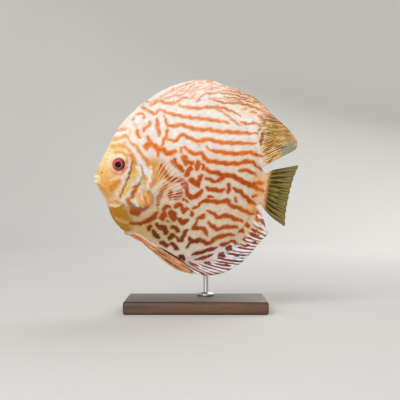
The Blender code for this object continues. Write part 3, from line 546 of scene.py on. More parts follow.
# Soft patches laid over them: colour, middle, reach each way, strength
GROUND_PATCHES = [
    ("fbe3bf", (116, 138), (18, 24), 0.8), ("fae6bc", (106, 158), (20, 18), 1.0),
    ("f6d8a0", (104, 165), (12, 8), 0.9), ("f8dca2", (118, 149), (16, 6), 0.6),
    ("f5d69a", (98, 172), (8, 8), 1.0), ("f0b464", (106, 177), (15, 10), 0.9),
    ("e8aa60", (106, 184), (14, 8), 0.8), ("e0a450", (112, 186), (13, 9), 0.7),
    ("d89c50", (105, 195), (12, 10), 0.8), ("e8c49c", (121, 194), (8, 9), 0.9),
    ("b27a1c", (118, 212), (14, 8), 1.0), ("ac761e", (124, 223), (16, 12), 1.0),
    ("e2c290", (134, 184), (9, 18), 0.9), ("e8b070", (132, 158), (7, 10), 0.7),
    ("f4e6dc", (142, 138), (12, 18), 0.6), ("d9983c", (155, 174), (14, 17), 1.0),
    ("dfa660", (147, 199), (10, 12), 0.9), ("c0ac80", (158, 226), (24, 20), 0.9), ("c0a068", (144, 226), (14, 14), 0.8),
    # 855020 is a dark patch under the pectoral pad: partly rust pigment, partly painted shadow of the pad.
    ("855020", (138, 207), (11, 4), 0.8), ("c9992e", (278, 138), (20, 33), 1.0), ("f0e0c0", (263, 134), (5, 15), 0.7), ("8a8450", (291, 152), (11, 12), 1.0),
    ("f6deb4", (250, 109), (16, 9), 0.6),
    ("f0a868", (259, 186), (9, 14), 0.8), ("edb068", (254, 210), (11, 10), 0.85),
    ("eae6ee", (236, 258), (34, 16), 0.8), ("e6d8d0", (196, 266), (24, 12), 0.6),
    ("e4bc98", (250, 232), (12, 16), 0.8), ("e4cbae", (228, 218), (24, 16), 0.7),
    ("fcf0c0", (96, 179), (5, 6), 1.0),
    ("e2b47c", (166, 192), (13, 12), 0.5),
]
STRIPE_PATCHES = [
    ("dc8a3c", (116, 165), (30, 44), 1.0), ("6e3010", (152, 234), (22, 15), 0.7),
    ("d4946a", (230, 94), (26, 11), 0.8), ("dca484", (194, 86), (22, 9), 0.7),
    ("cc6a20", (170, 178), (14, 14), 0.7),
    ("8a4f1a", (121, 222), (20, 15), 0.9), ("7e3c04", (277, 138), (20, 32), 1.0), ("5e5628", (291, 152), (11, 12), 1.0),
    ("842e10", (254, 243), (20, 22), 0.9), ("d06a28", (259, 190), (9, 26), 0.8),
    ("cc7a20", (157, 178), (12, 17), 0.9), ("b4662a", (254, 98), (26, 14), 0.7),
    ("be581a", (224, 222), (32, 28), 0.75), ("923a14", (206, 266), (26, 14), 0.9),
    ("c8601c", (247, 214), (13, 11), 0.8),
]
# Soft bands and spots of the head: colour, half width, softness, strength, line
HEAD_BANDS = [
    ("f3b494", 1.5, 0.9, 1.0, [(116.6, 131.8), (122, 130.4), (127.4, 128.4)]),
    ("fff8ee", 1.2, 0.7, 1.0, [(113.6, 136), (119, 134.2), (124, 132.8), (129.4, 131.6)]),
    ("f6b47e", 1.8, 0.9, 1.0, [(113.4, 140.2), (119, 138.8), (124, 137), (128.6, 136.4)]),
    ("f4a664", 1.0, 0.8, 1.0, [(123.4, 137.6), (127.6, 136.6), (129.4, 139.6), (130.6, 143)]),
    ("fcecd6", 0.8, 0.7, 1.0, [(111.6, 143.6), (117.6, 143.2), (123, 142.9), (127.4, 142.4)]),
    ("e8a888", 0.7, 0.7, 0.9, [(125.4, 142.8), (126.8, 142.6)]),
    ("f4b668", 2.3, 1.2, 1.0, [(112, 147), (119, 146.2), (125.6, 146.8)]),
    ("e2a64e", 1.4, 1.2, 0.9, [(124, 146.6), (127.6, 148.6), (130.4, 151.6)]),
    ("f2c8a6", 0.6, 0.7, 1.0, [(109.4, 150.4), (116, 149.8), (122, 150.2), (126.4, 151.8),
                               (129.4, 154.4)]),
    ("e4a654", 1.1, 1.0, 1.0, [(113.6, 152.8), (119, 152.4), (124, 153.8), (128, 155.8),
                               (131.4, 157.2)]),
    ("f8e4c4", 1.0, 1.2, 0.8, [(111.6, 157.6), (117, 156), (123, 157), (126.4, 159.6)]),
    ("cc9c40", 0.7, 0.9, 0.9, [(127.2, 158), (128.2, 163), (127.6, 168)]),
    ("c8683c", 1.2, 1.2, 0.8, [(127, 167.6), (125.2, 170.6), (122.4, 173)]),
    ("ec9068", 1.1, 1.2, 0.9, [(113.6, 171.4), (116.4, 173.6), (120, 174.8), (122.4, 173.8)]),
    ("f2cac2", 1.2, 0.8, 1.0, [(130.2, 157.6), (130.9, 162), (130.8, 166), (129.6, 170.4),
                               (127.4, 174), (124.4, 176.6)]),
    ("dd9234", 2.0, 1.2, 1.0, [(132.6, 155), (134.4, 160), (135.6, 164.4), (136, 168)]),
    ("e49a48", 1.4, 0.9, 1.0, [(130.4, 143.8), (134.4, 145), (137.8, 148), (140.4, 152),
                               (143, 156)]),
    ("e28a34", 1.8, 1.0, 1.0, [(142.4, 155), (145.6, 159.4), (148.6, 163.2), (151, 167)]),
    ("f0e4d8", 1.3, 0.7, 1.0, [(128.2, 143.6), (131.2, 147.2), (134.4, 151), (137.2, 155),
                               (139.6, 159.4), (142.4, 164)]),
    ("ece6ec", 2.0, 1.0, 1.0, [(141.6, 162), (144.6, 166.4), (147, 171), (148, 175.6)]),
    ("d88a2a", 2.6, 1.6, 1.0, [(119.6, 181), (116.4, 184.4), (113.4, 187), (112.6, 191.4)]),
    ("edc8a4", 1.4, 1.3, 1.0, [(124.8, 182), (122.4, 186.6), (120.6, 191), (118, 196)]),
    ("f2d2ac", 0.8, 1.0, 0.9, [(120.6, 175.6), (115.6, 178.4), (111.4, 180.8)]),
    ("e6bd44", 1.6, 1.2, 1.0, [(133.6, 174.4), (135, 177.6)]),
    ("e8a040", 1.5, 1.2, 1.0, [(134.6, 169.6), (134.8, 172)]),
    ("f2dcc8", 1.4, 0.8, 1.0, [(136.8, 166.4), (139.4, 167.8), (141.2, 171), (141.4, 175)]),
    ("dcd0cc", 1.5, 0.8, 1.0, [(141.2, 176), (139.6, 179), (136.4, 182), (133, 184.2)]),
    ("e8c250", 1.6, 1.2, 1.0, [(128.6, 187), (127.6, 190.8), (125.4, 193.6)]),
    ("dcd8d2", 1.5, 0.8, 1.0, [(132.6, 190.8), (129.8, 193.8), (127.2, 196.4), (125.8, 199)]),
    ("f2dacc", 1.4, 1.0, 0.9, [(122.2, 199), (125, 201.4)]),
    # b09a4c, a86430 and a8884c are dark lines along the rear edge of the gill cover: painted shade in the crease under
    # it.
    ("b09a4c", 0.6, 0.7, 0.9, [(140.4, 165.6), (142.8, 169), (143.7, 174), (143, 179), (140.8, 183)]),
    ("a86430", 1.0, 0.9, 1.0, [(140.4, 183.6), (138.2, 187), (136.2, 190.6), (134.6, 193.6)]),
    ("a85e20", 1.2, 0.9, 1.0, [(134.4, 187.8), (137.2, 187)]),
    ("a8884c", 0.6, 0.7, 0.9, [(134.4, 194), (132.4, 197), (130.2, 199.6)]),
    # Dark lines along the cheek fold: painted shade in the crease.
    ("a8803a", 0.8, 0.7, 1.0, [(132.6, 160), (132.9, 164.6), (131.9, 169.4)]),
    ("7e5c14", 0.8, 0.9, 1.0, [(132.2, 168), (130.9, 173), (129.2, 178), (127.4, 182.4)]),
    ("a4602a", 0.8, 0.9, 1.0, [(127.2, 183), (125, 188), (122.6, 193.4), (120.8, 198.4)]),
    ("c8924a", 0.7, 1.0, 0.9, [(99.6, 185.4), (103.4, 189.4), (107, 193.4), (109.8, 198)]),
    ("dab888", 0.6, 0.8, 0.9, [(97, 187), (101, 191.4), (105, 196.4), (108, 201.6)]),
    ("d89a3c", 1.2, 1.1, 1.0, [(111.6, 202), (117, 201.6), (121.4, 203)]),
    ("f2d4a0", 0.9, 0.8, 1.0, [(111, 205), (117, 205.8), (122, 204.4)]),
    ("b8741c", 1.0, 1.1, 0.9, [(117.6, 207.4), (122, 206.6), (125.6, 204.4)]),
    ("a87410", 1.3, 1.0, 1.0, [(128.8, 202.4), (130.6, 203.8)]),
    ("c89440", 1.4, 1.2, 0.9, [(128.4, 199.6), (130, 201)]),
    ("e0dcd0", 1.5, 1.0, 1.0, [(134.4, 198.8), (136.2, 202.4), (138.8, 205.4)]),
    ("f0b070", 2.0, 1.2, 1.0, [(138.6, 197.4), (141, 202), (144, 206.4)]),
    ("b8682c", 0.7, 0.8, 1.0, [(144.6, 196), (146.6, 200), (147, 204.6), (145.8, 208)]),
    ("e8a452", 1.2, 1.0, 1.0, [(148.6, 196.6), (149.8, 200.4), (149.6, 204)]),
    ("f4d8d0", 1.3, 1.0, 0.9, [(138.4, 190.4), (140.6, 192)]),
    ("f6e2cc", 0.7, 0.8, 0.9, [(142.4, 195.4), (143.8, 199.6)]),
    # A dark band under the pectoral pad: rust-brown skin with painted shadow of the pad.
    ("8a4a22", 1.6, 1.6, 0.9, [(132.6, 208), (137, 210), (143, 209.6), (147.8, 208)]),
    ("e2c08c", 0.8, 1.6, 0.5, [(117, 218), (122, 221), (128, 222)]),
    ("f0cc98", 0.9, 0.9, 0.9, [(130.6, 130), (130.8, 133.4)]),
    ("f6cab0", 1.0, 1.0, 0.8, [(134.6, 124.6), (138.4, 125.4)]),
    ("f4bc9c", 0.8, 0.9, 0.9, [(136.8, 127.6), (137.2, 131)]),
    ("d98c3c", 0.8, 1.6, 0.8, [(149.6, 180), (151.8, 184)]),
    ("d99a38", 1.7, 1.2, 1.0, [(157.4, 168), (155.6, 171), (153.6, 175)]),
    ("dda03a", 2.4, 1.2, 1.0, [(157.2, 177), (155.6, 181.4)]),
    ("c0922e", 1.0, 1.2, 0.8, [(158.2, 198), (157.6, 205), (158.4, 212)]),
    ("f0a482", 0.5, 0.6, 0.9, [(150, 103.4), (160, 96.6), (170, 91), (180, 86.4), (190, 83), (200, 80.8),
                               (212, 80.8), (222, 83.4)]),
    ("e8894a", 0.9, 0.8, 1.0, [(262, 104.6), (272, 112.6), (283, 125.6), (292, 136.8), (297, 142)]),
    ("e2b26c", 0.6, 0.8, 1.0, [(263.4, 168.6), (270, 161.4), (277, 154.2), (281.4, 147.8), (286, 142),
                               (290, 139)]),
    ("f2e6da", 1.3, 1.4, 1.0, [(148.6, 189), (150, 180), (151.6, 168)]),
    ("eee0d0", 1.2, 1.4, 1.0, [(151, 194), (157, 187), (164, 180.6)]),
    ("e8d4b4", 1.2, 1.4, 0.9, [(151.6, 197), (157, 195.6), (162, 194.6)]),
]
SPECKS = [(0.5, (102.2, 172.5)), (0.5, (120.2, 191.8)), (0.3, (111, 178.2)), (0.3, (108, 160.2))]


def from_photo(points):
    """Places in the photograph's pixels as disc millimetres."""
    return (np.array(points, float) - PHOTO_MIDDLE) * (PHOTO_MM, -PHOTO_MM)


plan_x = np.arange(-92, 92, PLAN_STEP)
plan_z = np.arange(-86, 86, PLAN_STEP)
across, upward = np.meshgrid(plan_x, plan_z)


def beside(line, half, reach, tapered=0.0):
    """The part of the plan within reach of a line, and how far outside the band it lies."""
    low = line.min(axis=0) - half - reach
    high = line.max(axis=0) + half + reach
    part = (slice(*np.searchsorted(plan_z, (low[1], high[1]))),
            slice(*np.searchsorted(plan_x, (low[0], high[0]))))
    x, z = across[part], upward[part]
    nearest = np.full(x.shape, NO_STRIPE)
    count = len(line) - 1
    for i, ((ax, az), (bx, bz)) in enumerate(zip(line, line[1:])):
        dx, dz = bx - ax, bz - az
        t = np.clip(((x - ax) * dx + (z - az) * dz) / (dx * dx + dz * dz + 1e-9), 0, 1)
        end = min(i + 0.5, count - i - 0.5) / count
        width = half * (1 - tapered * (1 - min(1.0, end * 5)))
        nearest = np.minimum(nearest, np.hypot(x - ax - t * dx, z - az - t * dz) - width)
    return part, nearest


def in_steps(points, step=0.8):
    """A smooth line through places of the photograph, in steps of about this many mm."""
    line = from_photo(points)
    length = np.linalg.norm(np.diff(line, axis=0), axis=1).sum()
    return smooth_line(line, max(3, int(length / step)))


def down_the_fish(table):
    """A colour at every place of the plan from its height alone."""
    heights = [(PHOTO_MIDDLE[1] - y) * PHOTO_MM for y, code in table][::-1]
    colours = np.array([linear(code) for y, code in table])[::-1]
    return np.stack([np.interp(upward, heights, colours[:, i]) for i in range(3)], -1)


def lay_over(layer, patches):
    for code, middle, reach, strength in patches:
        x, z = from_photo(middle)
        away = np.hypot((across - x) / (reach[0] * PHOTO_MM), (upward - z) / (reach[1] * PHOTO_MM))
        share = (strength * (1 - step_between(away, 0.5, 1.25)))[..., None]
        layer += (np.array(linear(code)) - layer) * share


stripe_plan = np.full(across.shape, NO_STRIPE)
for half, points in STRIPES:
    part, outside = beside(in_steps(points), half * PHOTO_MM * STRIPE_SWELL, 5.0, 0.5)
    stripe_plan[part] = np.minimum(stripe_plan[part], outside)
ground_plan = down_the_fish(GROUND_DOWN)
ink_plan = down_the_fish(STRIPE_DOWN)
lay_over(ground_plan, GROUND_PATCHES)
lay_over(ink_plan, STRIPE_PATCHES)
for code, half, soft, strength, points in HEAD_BANDS:
    part, outside = beside(in_steps(points), half * PHOTO_MM, soft * PHOTO_MM * 2, 0.6)
    share = strength * (1 - step_between(outside, -soft * PHOTO_MM, soft * PHOTO_MM * 1.5))
    ground_plan[part] += (np.array(linear(code)) - ground_plan[part]) * share[..., None]
for radius, middle in SPECKS:
    x, z = from_photo(middle)
    spot = 1 - step_between(np.hypot(across - x, upward - z), radius * 0.5, radius * 1.6)
    ground_plan += (np.array(linear("94603a")) - ground_plan) * (spot * 0.7)[..., None]


def from_plan(layer, x, z):
    """What a layer of the plan says at these places."""
    column = np.clip((x - plan_x[0]) / PLAN_STEP, 0, len(plan_x) - 1.001)
    row = np.clip((z - plan_z[0]) / PLAN_STEP, 0, len(plan_z) - 1.001)
    c, r = column.astype(int), row.astype(int)
    fc, fr = column - c, row - r
    if layer.ndim == 3:
        fc, fr = fc[:, None], fr[:, None]
    return ((layer[r, c] * (1 - fc) + layer[r, c + 1] * fc) * (1 - fr)
            + (layer[r + 1, c] * (1 - fc) + layer[r + 1, c + 1] * fc) * fr)


def other_side(x, z, y):
    """The markings of the right side run a little differently from those of the left."""
    right = step_between(y, -1.0, 1.0)
    return (x + right * 1.9 * np.sin(z / 7.5 + x / 19.0 + 0.8),
            z + right * 1.7 * np.sin(x / 8.5 - z / 17.0 + 2.1))


def attribute(piece, name, values):
    """Writes a number or a colour for each point of a piece."""
    values = np.asarray(values, float)
    kind = "FLOAT" if values.ndim == 1 else "FLOAT_COLOR"
    made = piece.data.attributes.new(name, kind, "POINT")
    if values.ndim == 1:
        made.data.foreach_set("value", values)
    else:
        full = np.concatenate([values, np.ones((len(values), 1))], axis=1)
        made.data.foreach_set("color", full.reshape(-1))


def points_of(piece):
    """A piece's points in disc millimetres."""
    flat = np.empty(len(piece.data.vertices) * 3)
    piece.data.vertices.foreach_get("co", flat)
    return flat.reshape(-1, 3) / MM - (0, 0, DISC_HEIGHT)


def wandering(x, z):
    """The same places shifted a little, as no band of pigment runs quite true."""
    return (x + 0.34 * np.sin(0.9 * z + 0.5 * x) + 0.2 * np.sin(1.9 * z - 1.3 * x + 1.1),
            z + 0.34 * np.sin(0.8 * x - 0.6 * z + 0.6) + 0.2 * np.sin(2.1 * x + 1.2 * z))


def mark(piece, roots=None):
    """Gives a piece the markings of the plan, point by point, or in part from its roots."""
    x, y, z = points_of(piece).T
    if roots is not None:
        x, z = x * 0.7 + roots[:, 0] * 0.3, z * 0.7 + roots[:, 1] * 0.3
    x, z = wandering(*other_side(x, z, y))
    attribute(piece, "stripe", from_plan(stripe_plan, x, z))
    attribute(piece, "ground", from_plan(ground_plan, x, z))
    attribute(piece, "ink", from_plan(ink_plan, x, z))


# One skin covers the head, trunk, tail root and both gill covers without a seam. It rises over
# the gill cover, drops at its free rear edge, folds behind the cheek and the jaws, is pressed
# in round the eyes and at the nostrils, and turns over the lips into the mouth.
EYE_AT = (-61.0, 10.0)
EYE_RADIUS = 5.5
NOSTRIL_AT = (-74.8, 3.8)
GILL_COVER = [(-49.0, 10.5), (-46.4, 13.6), (-42.6, 8.0), (-40.4, 0.4), (-43.4, -5.8),
              (-49.0, -12.8), (-54.6, -19.4), (-59.4, -18.6), (-57.4, -11.4), (-53.0, -2.0),
              (-50.6, 5.0)]
GILL_RISE = 0.55
GILL_REAR = [(145.0, 159.0), (143.6, 164.5), (144.6, 171), (143.8, 177), (141.4, 183), (138, 188.4),
             (135, 192.8), (132.2, 197), (129.2, 201.6), (124.6, 203.6)]
CHEEK_FOLD = [(133.4, 163), (132.8, 168), (131.3, 173.7), (129.2, 178.8), (126.7, 184),
              (124, 189.6), (122, 195.3), (119.6, 199.4)]
JAW_FOLD = [(100.4, 181.4), (103.4, 184.4), (107.6, 186.4), (112.4, 189)]
JAW_EDGE = [(104, 190.6), (109.4, 195.4), (114.6, 200.6), (119.6, 204.6), (126, 207)]
NAPE_FOLD = [(113.6, 146.4), (121.6, 144.6), (130, 148.6), (137.6, 156)]
PECTORAL_AT = (-39.2, -17.0)
PAD_SWELL = 0.7
MOUTH_CORNER = -77.4
MOUTH_HALF = 3.3
LIP_FRONT = {1: -79.64, -1: -79.83}
LIP_HEIGHT = {1: 0.72, -1: -3.54}
LIP_CORNER = {1: -0.6, -1: -2.5}
LIP_RADIUS = {1: 1.68, -1: 1.62}
LIP_MIDDLE = -1.5
RING_POINTS = 320
BODY_ROWS = 268
MOUTH_ROWS = 22
COLLAR_ROWS = 10

relief_plan = np.zeros(across.shape)


def fold(points, depth, half, lip=0.0):
    """A groove along a line of the photograph, with a low swelling beside it."""
    part, away = beside(in_steps(points), 0.0, half * 5, 0.0)
    relief_plan[part] -= depth * np.exp(-(away / half) ** 2)
    relief_plan[part] += lip * np.exp(-((away - 2.2 * half) / (1.4 * half)) ** 2)


gill_edge = smooth_line(GILL_COVER + GILL_COVER[:1], 90)
part, away = beside(gill_edge, 0.0, 9.0, 0.0)
inside = np.zeros(away.shape, bool)
for (ax, az), (bx, bz) in zip(gill_edge, gill_edge[1:]):
    crosses = (upward[part] < az) != (upward[part] < bz)
    at = ax + (upward[part] - az) / (bz - az + 1e-9) * (bx - ax)
    inside ^= crosses & (across[part] < at)
signed = np.where(inside, -away, away)
towards_rear = step_between(across[part] + 0.55 * upward[part], -58, -50)
soft = 2.6 - 2.15 * towards_rear
relief_plan[part] += GILL_RISE * (1 - step_between(signed, -soft, 0.05))
fold(GILL_REAR, 0.38, 0.75, 0.12)
fold(CHEEK_FOLD, 0.36, 0.75, 0.14)
fold(JAW_FOLD, 0.3, 0.6, 0.18)
fold(JAW_EDGE, 0.26, 0.7, 0.12)
fold(NAPE_FOLD, 0.1, 1.4, 0.06)
eye_away = np.hypot(across - EYE_AT[0], upward - EYE_AT[1])
relief_plan += 0.42 * np.exp(-((eye_away - EYE_RADIUS - 0.9) / 0.75) ** 2)
relief_plan -= 0.16 * np.exp(-((eye_away - EYE_RADIUS - 3.0) / 0.8) ** 2)
relief_plan -= 3.2 * (1 - step_between(eye_away, EYE_RADIUS - 1.2, EYE_RADIUS + 0.15))
pit_away = np.hypot(across - NOSTRIL_AT[0], upward - NOSTRIL_AT[1])
relief_plan -= 1.0 * (1 - step_between(pit_away, 0.25, 0.75))
relief_plan += 0.16 * np.exp(-((pit_away - 1.05) / 0.35) ** 2)
pad_away = np.hypot(across - PECTORAL_AT[0], upward - PECTORAL_AT[1])
relief_plan += PAD_SWELL * np.exp(-(pad_away / 5.6) ** 2)

ring_share = np.linspace(0, 1, RING_POINTS + 1)
ring_turn = 2 * math.pi * ring_share
evenly = 1 - 2 * np.abs(2 * ring_share - 1)
ring_s = 0.45 * -np.cos(ring_turn) + 0.55 * evenly
ring_s[[0, -1]] = -1
ring_s[RING_POINTS // 2] = 1
ring_sign = np.where(ring_share <= 0.5, -1.0, 1.0)


def body_rows(starts, shares):
    """Rings of the body from a starting ring, whose place along it may change round it."""
    u = starts + (1 - starts) * shares[:, None]
    s = np.repeat(ring_s[None], len(shares), axis=0)
    return body_surface(u, s, np.repeat(ring_sign[None], len(shares), axis=0))


mouth_level = np.clip(ring_s / 0.16, -1, 1)
upper = ring_s > 0
reach_front = np.sin(np.clip(np.abs(ring_s) * 1.25, 0, 1) * math.pi / 2)


def lip_value(table):
    """A size of the lips round the mouth, from the upper lip's to the lower lip's."""
    share = (mouth_level + 1) / 2
    return table[-1] * (1 - share) + table[1] * share


lip_x = MOUTH_CORNER + (lip_value(LIP_FRONT) - MOUTH_CORNER) * reach_front
lip_y = ring_sign * MOUTH_HALF * np.sqrt(np.clip(1 - reach_front**2, 0, 1))
lip_corner = lip_value(LIP_CORNER)
lip_z = lip_corner + (lip_value(LIP_HEIGHT) - lip_corner) * reach_front
lip_r = lip_value(LIP_RADIUS) * (0.6 + 0.4 * reach_front)
lip_out = np.stack([-reach_front, ring_sign * np.sqrt(np.clip(1 - reach_front**2, 0, 1))], -1)
tube = np.linspace(math.radians(-150), math.radians(82), MOUTH_ROWS)[:, None]
lip_rows = np.stack([
    lip_x + np.cos(tube) * lip_r * lip_out[:, 0],
    lip_y + np.cos(tube) * lip_r * lip_out[:, 1],
    lip_z + np.sin(tube) * lip_r * mouth_level], -1)
throat = np.stack([np.full(RING_POINTS + 1, MOUTH_CORNER + 1.4), lip_y * 0.5,
                   np.full(RING_POINTS + 1, LIP_MIDDLE)], -1)
throat_end = np.stack([np.full(RING_POINTS + 1, MOUTH_CORNER + 1.8), np.zeros(RING_POINTS + 1),
                       np.full(RING_POINTS + 1, LIP_MIDDLE)], -1)
collar_u = 0.016 + 0.026 * (1 - reach_front)
shares = np.linspace(0, 1, BODY_ROWS + 1) ** 1.32
trunk = body_rows(collar_u, shares)
share = np.linspace(0, 1, COLLAR_ROWS + 2)[1:-1, None, None]
leave, arrive = lip_rows[-1], trunk[0]
heading_out = (lip_rows[-1] - lip_rows[-2]) * 4.0
heading_in = (trunk[1] - trunk[0]) * 4.0
collar = (leave * (1 + 2 * share) * (1 - share) ** 2 + heading_out * share * (1 - share) ** 2
          + arrive * share**2 * (3 - 2 * share) - heading_in * share**2 * (1 - share))
tail_end = np.repeat(trunk[-1:].mean(axis=1, keepdims=True), RING_POINTS + 1, axis=1)
tail_end[..., 0] += 0.6
rings = np.concatenate([throat_end[None], throat[None], lip_rows, collar, trunk, tail_end])


def raised(points, sides, from_row):
    """Rings with the relief of the side plan, pushed out along their own normals."""
    along = np.gradient(points, axis=0)
    around = np.gradient(points, axis=1)
    normal = np.cross(along, around)
    size = np.linalg.norm(normal, axis=2, keepdims=True)
    normal = normal / np.maximum(size, 1e-9)
    wrong = np.sign(normal[..., 1]) * sides < 0
    normal[wrong] *= -1
    lift = from_plan(relief_plan, points[..., 0].ravel(), points[..., 2].ravel())
    lift = lift.reshape(points.shape[:2])
    beside_ridge = step_between(np.abs(points[..., 1]), 0.6, 2.0)
    lift *= beside_ridge * step_between(np.arange(len(points)), from_row, from_row + 6)[:, None]
    return points + normal * lift[..., None]


first_row = 2 + MOUTH_ROWS + COLLAR_ROWS // 2
rings = raised(rings, ring_sign[None], first_row)
skin = moulded("skin", placed(rings))
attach(skin, "root")
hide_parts("head", "torso", "tail_root", "gill_cover_left", "gill_cover_right")
mark(skin)
x, y, z = points_of(skin).T
# Inside the mouth the skin is painted near black: painted shade in the mouth's recess.
inside_mouth = step_between(x, MOUTH_CORNER - 2.2, MOUTH_CORNER - 0.6)
inside_mouth *= step_between(MOUTH_HALF * 0.8 - np.abs(y), 0, 1.0)
inside_mouth *= 1 - step_between(np.abs(z - LIP_MIDDLE), 0.4, 1.1)
attribute(skin, "painted_mouth_shade", inside_mouth)


def skin_finish(name, gloss, fringe=0.5, halo=0.36, wear=1.0):
    """Pigmented skin: stripes with a darker heart and a soft ragged edge on a mottled ground."""
    finish = Finish(name, Roughness=gloss, Coat_Weight=0.05, Coat_Roughness=0.25,
                    Specular_IOR_Level=0.15)
    place = finish.place()
    stripe = finish.painted("stripe", colour=False)
    for scale, reach in ((340.0, 0.9), (1050.0, 0.7)):
        ragged = finish.math("SUBTRACT", finish.noise(place, scale), 0.5)
        stripe = finish.math("ADD", stripe, finish.math("MULTIPLY", ragged, reach * wear))
    inked = finish.math("MAXIMUM", finish.ramp(stripe, -0.5, 0.4, 1.0, 0.0),
                        finish.ramp(stripe, -0.2, 1.1, halo, 0.0))
    clouded = finish.ramp(finish.noise(place, 420.0, 2.0), 0.35, 0.65, 0.84, 1.16)
    heart = finish.math("MULTIPLY", clouded, finish.ramp(stripe, -1.3, -0.1, 0.88, 1.12))
    patchy = finish.ramp(finish.noise(place, 300.0, 5.0), 0.3, 0.7, 0.9, 1.07)
    grain = finish.ramp(finish.noise(place, 2600.0, 2.0), 0.3, 0.7, 0.95, 1.04)
    ground = finish.mix(finish.ramp(stripe, 0.2, 1.7, fringe, 0.0), finish.painted("ground"),
                        (0.94, 0.8, 0.5, 1), "MULTIPLY")
    ground = finish.shade(ground, patchy)
    ink = finish.shade(finish.painted("ink"), heart)
    colour = finish.shade(finish.mix(inked, ground, ink), grain)
    finish.feed(finish.shader.inputs["Base Color"], colour)
    finish.feed(finish.shader.inputs["Roughness"],
                finish.ramp(finish.noise(place, 700.0), 0.3, 0.7, gloss - 0.05, gloss + 0.09))
    finish.colour, finish.at = colour, place
    return finish


skin_coat = skin_finish("pigmented_skin", 0.5)
# Painted shade inside the mouth.
dark = skin_coat.painted("painted_mouth_shade", colour=False)
skin_coat.feed(skin_coat.shader.inputs["Base Color"],
               skin_coat.mix(dark, skin_coat.colour, (*linear("2a120c"), 1)))
pores = skin_coat.bump(skin_coat.noise(skin_coat.at, 3200.0, 2.0), 0.12, 0.0003)
skin_coat.feed(skin_coat.shader.inputs["Normal"],
               skin_coat.bump(skin_coat.noise(skin_coat.at, 420.0, 3.0), 0.12, 0.0008, pores))
skin_coat.wear(skin)

# The scales are small thin overlapping plates with round rear edges, set in the skin in even
# diagonal rows from the nape to the root of the tail, smaller on the gill cover and cheek.
SCALE_PITCH = 1.75
SCALE_ROW = 0.92
SCALE_LONG = 1.3
SCALE_WIDE = 1.02
SCALE_RISE = 0.075
SCALE_THICK = 0.03
SCALE_SIDES = 12
BAKE_PATCH = 0.003
COVER_SHARE = 0.7
HEAD_EDGE = [(-53, 62), (-47, 46), (-44.8, 24), (-39.6, 10), (-37.4, 1), (-39.4, -7),
             (-45.5, -16), (-53, -23.5), (-62, -27.6), (-76, -27.5)]

skin_tree = BVHTree.FromPolygons([v.co for v in skin.data.vertices],
                                 [p.vertices for p in skin.data.polygons])
skin_map = np.empty(len(skin.data.loops) * 2)
skin.data.uv_layers[0].data.foreach_get("uv", skin_map)
first_corner = np.array([p.loop_start for p in skin.data.polygons])
corners = np.array([p.loop_total for p in skin.data.polygons])
face_map = np.add.reduceat(skin_map.reshape(-1, 2), first_corner) / corners[:, None]


def on_skin(x, z, sign):
    """The skin at a point of the side view: place, outward direction and face, or None."""
    start = Vector(placed((x, sign * 40.0, z)))
    hit, normal, face = skin_tree.ray_cast(start, Vector((0, -sign, 0)))[:3]
    if hit is None:
        return None
    if normal.y * sign < 0:
        normal = -normal
    return hit, normal, face


bpy.ops.object.select_all(action="DESELECT")
bpy.ops.mesh.primitive_cone_add(vertices=SCALE_SIDES, radius1=1, depth=1, end_fill_type="TRIFAN")
pattern = bpy.context.object
shape = np.array([v.co for v in pattern.data.vertices])
tip = shape[:, 2] > 0.4
middle = (np.hypot(shape[:, 0], shape[:, 1]) < 0.1) & ~tip
rim = ~tip & ~middle
angle = np.arctan2(shape[:, 1], shape[:, 0])
long = SCALE_LONG * (np.cos(angle) + 0.12 * np.cos(2 * angle))
scale_points = np.zeros_like(shape)
scale_points[rim, 0] = long[rim]
scale_points[rim, 1] = (SCALE_WIDE * np.sin(angle))[rim]
scale_points[rim, 2] = (SCALE_RISE * (long / SCALE_LONG * 0.5 + 0.5) - 0.02)[rim]
scale_points[tip] = (0.1, 0, SCALE_RISE * 0.62 + SCALE_THICK)
scale_points[middle] = (0.1, 0, -0.06)
scale_faces = np.array([p.vertices for p in pattern.data.polygons])
bpy.data.objects.remove(pattern, do_unlink=True)
head_line = smooth_line(HEAD_EDGE, 200)
in_front = np.interp(plan_z, head_line[::-1, 1], head_line[::-1, 0])
fold_away = np.full(across.shape, NO_STRIPE)
for points in (CHEEK_FOLD, GILL_REAR):
    part, away = beside(in_steps(points), 0.0, 4.0)
    fold_away[part] = np.minimum(fold_away[part], away)


def rooted(xs, zs, sign):
    """Where scales can root: side view place, place, direction and place on the skin's map."""
    roots = []
    for x, z in zip(xs, zs):
        found = on_skin(x, z, sign)
        if found and abs(found[1].y) > 0.25:
            roots.append((x, z, *found[0], *found[1], *face_map[found[2]]))
    return np.array(roots)


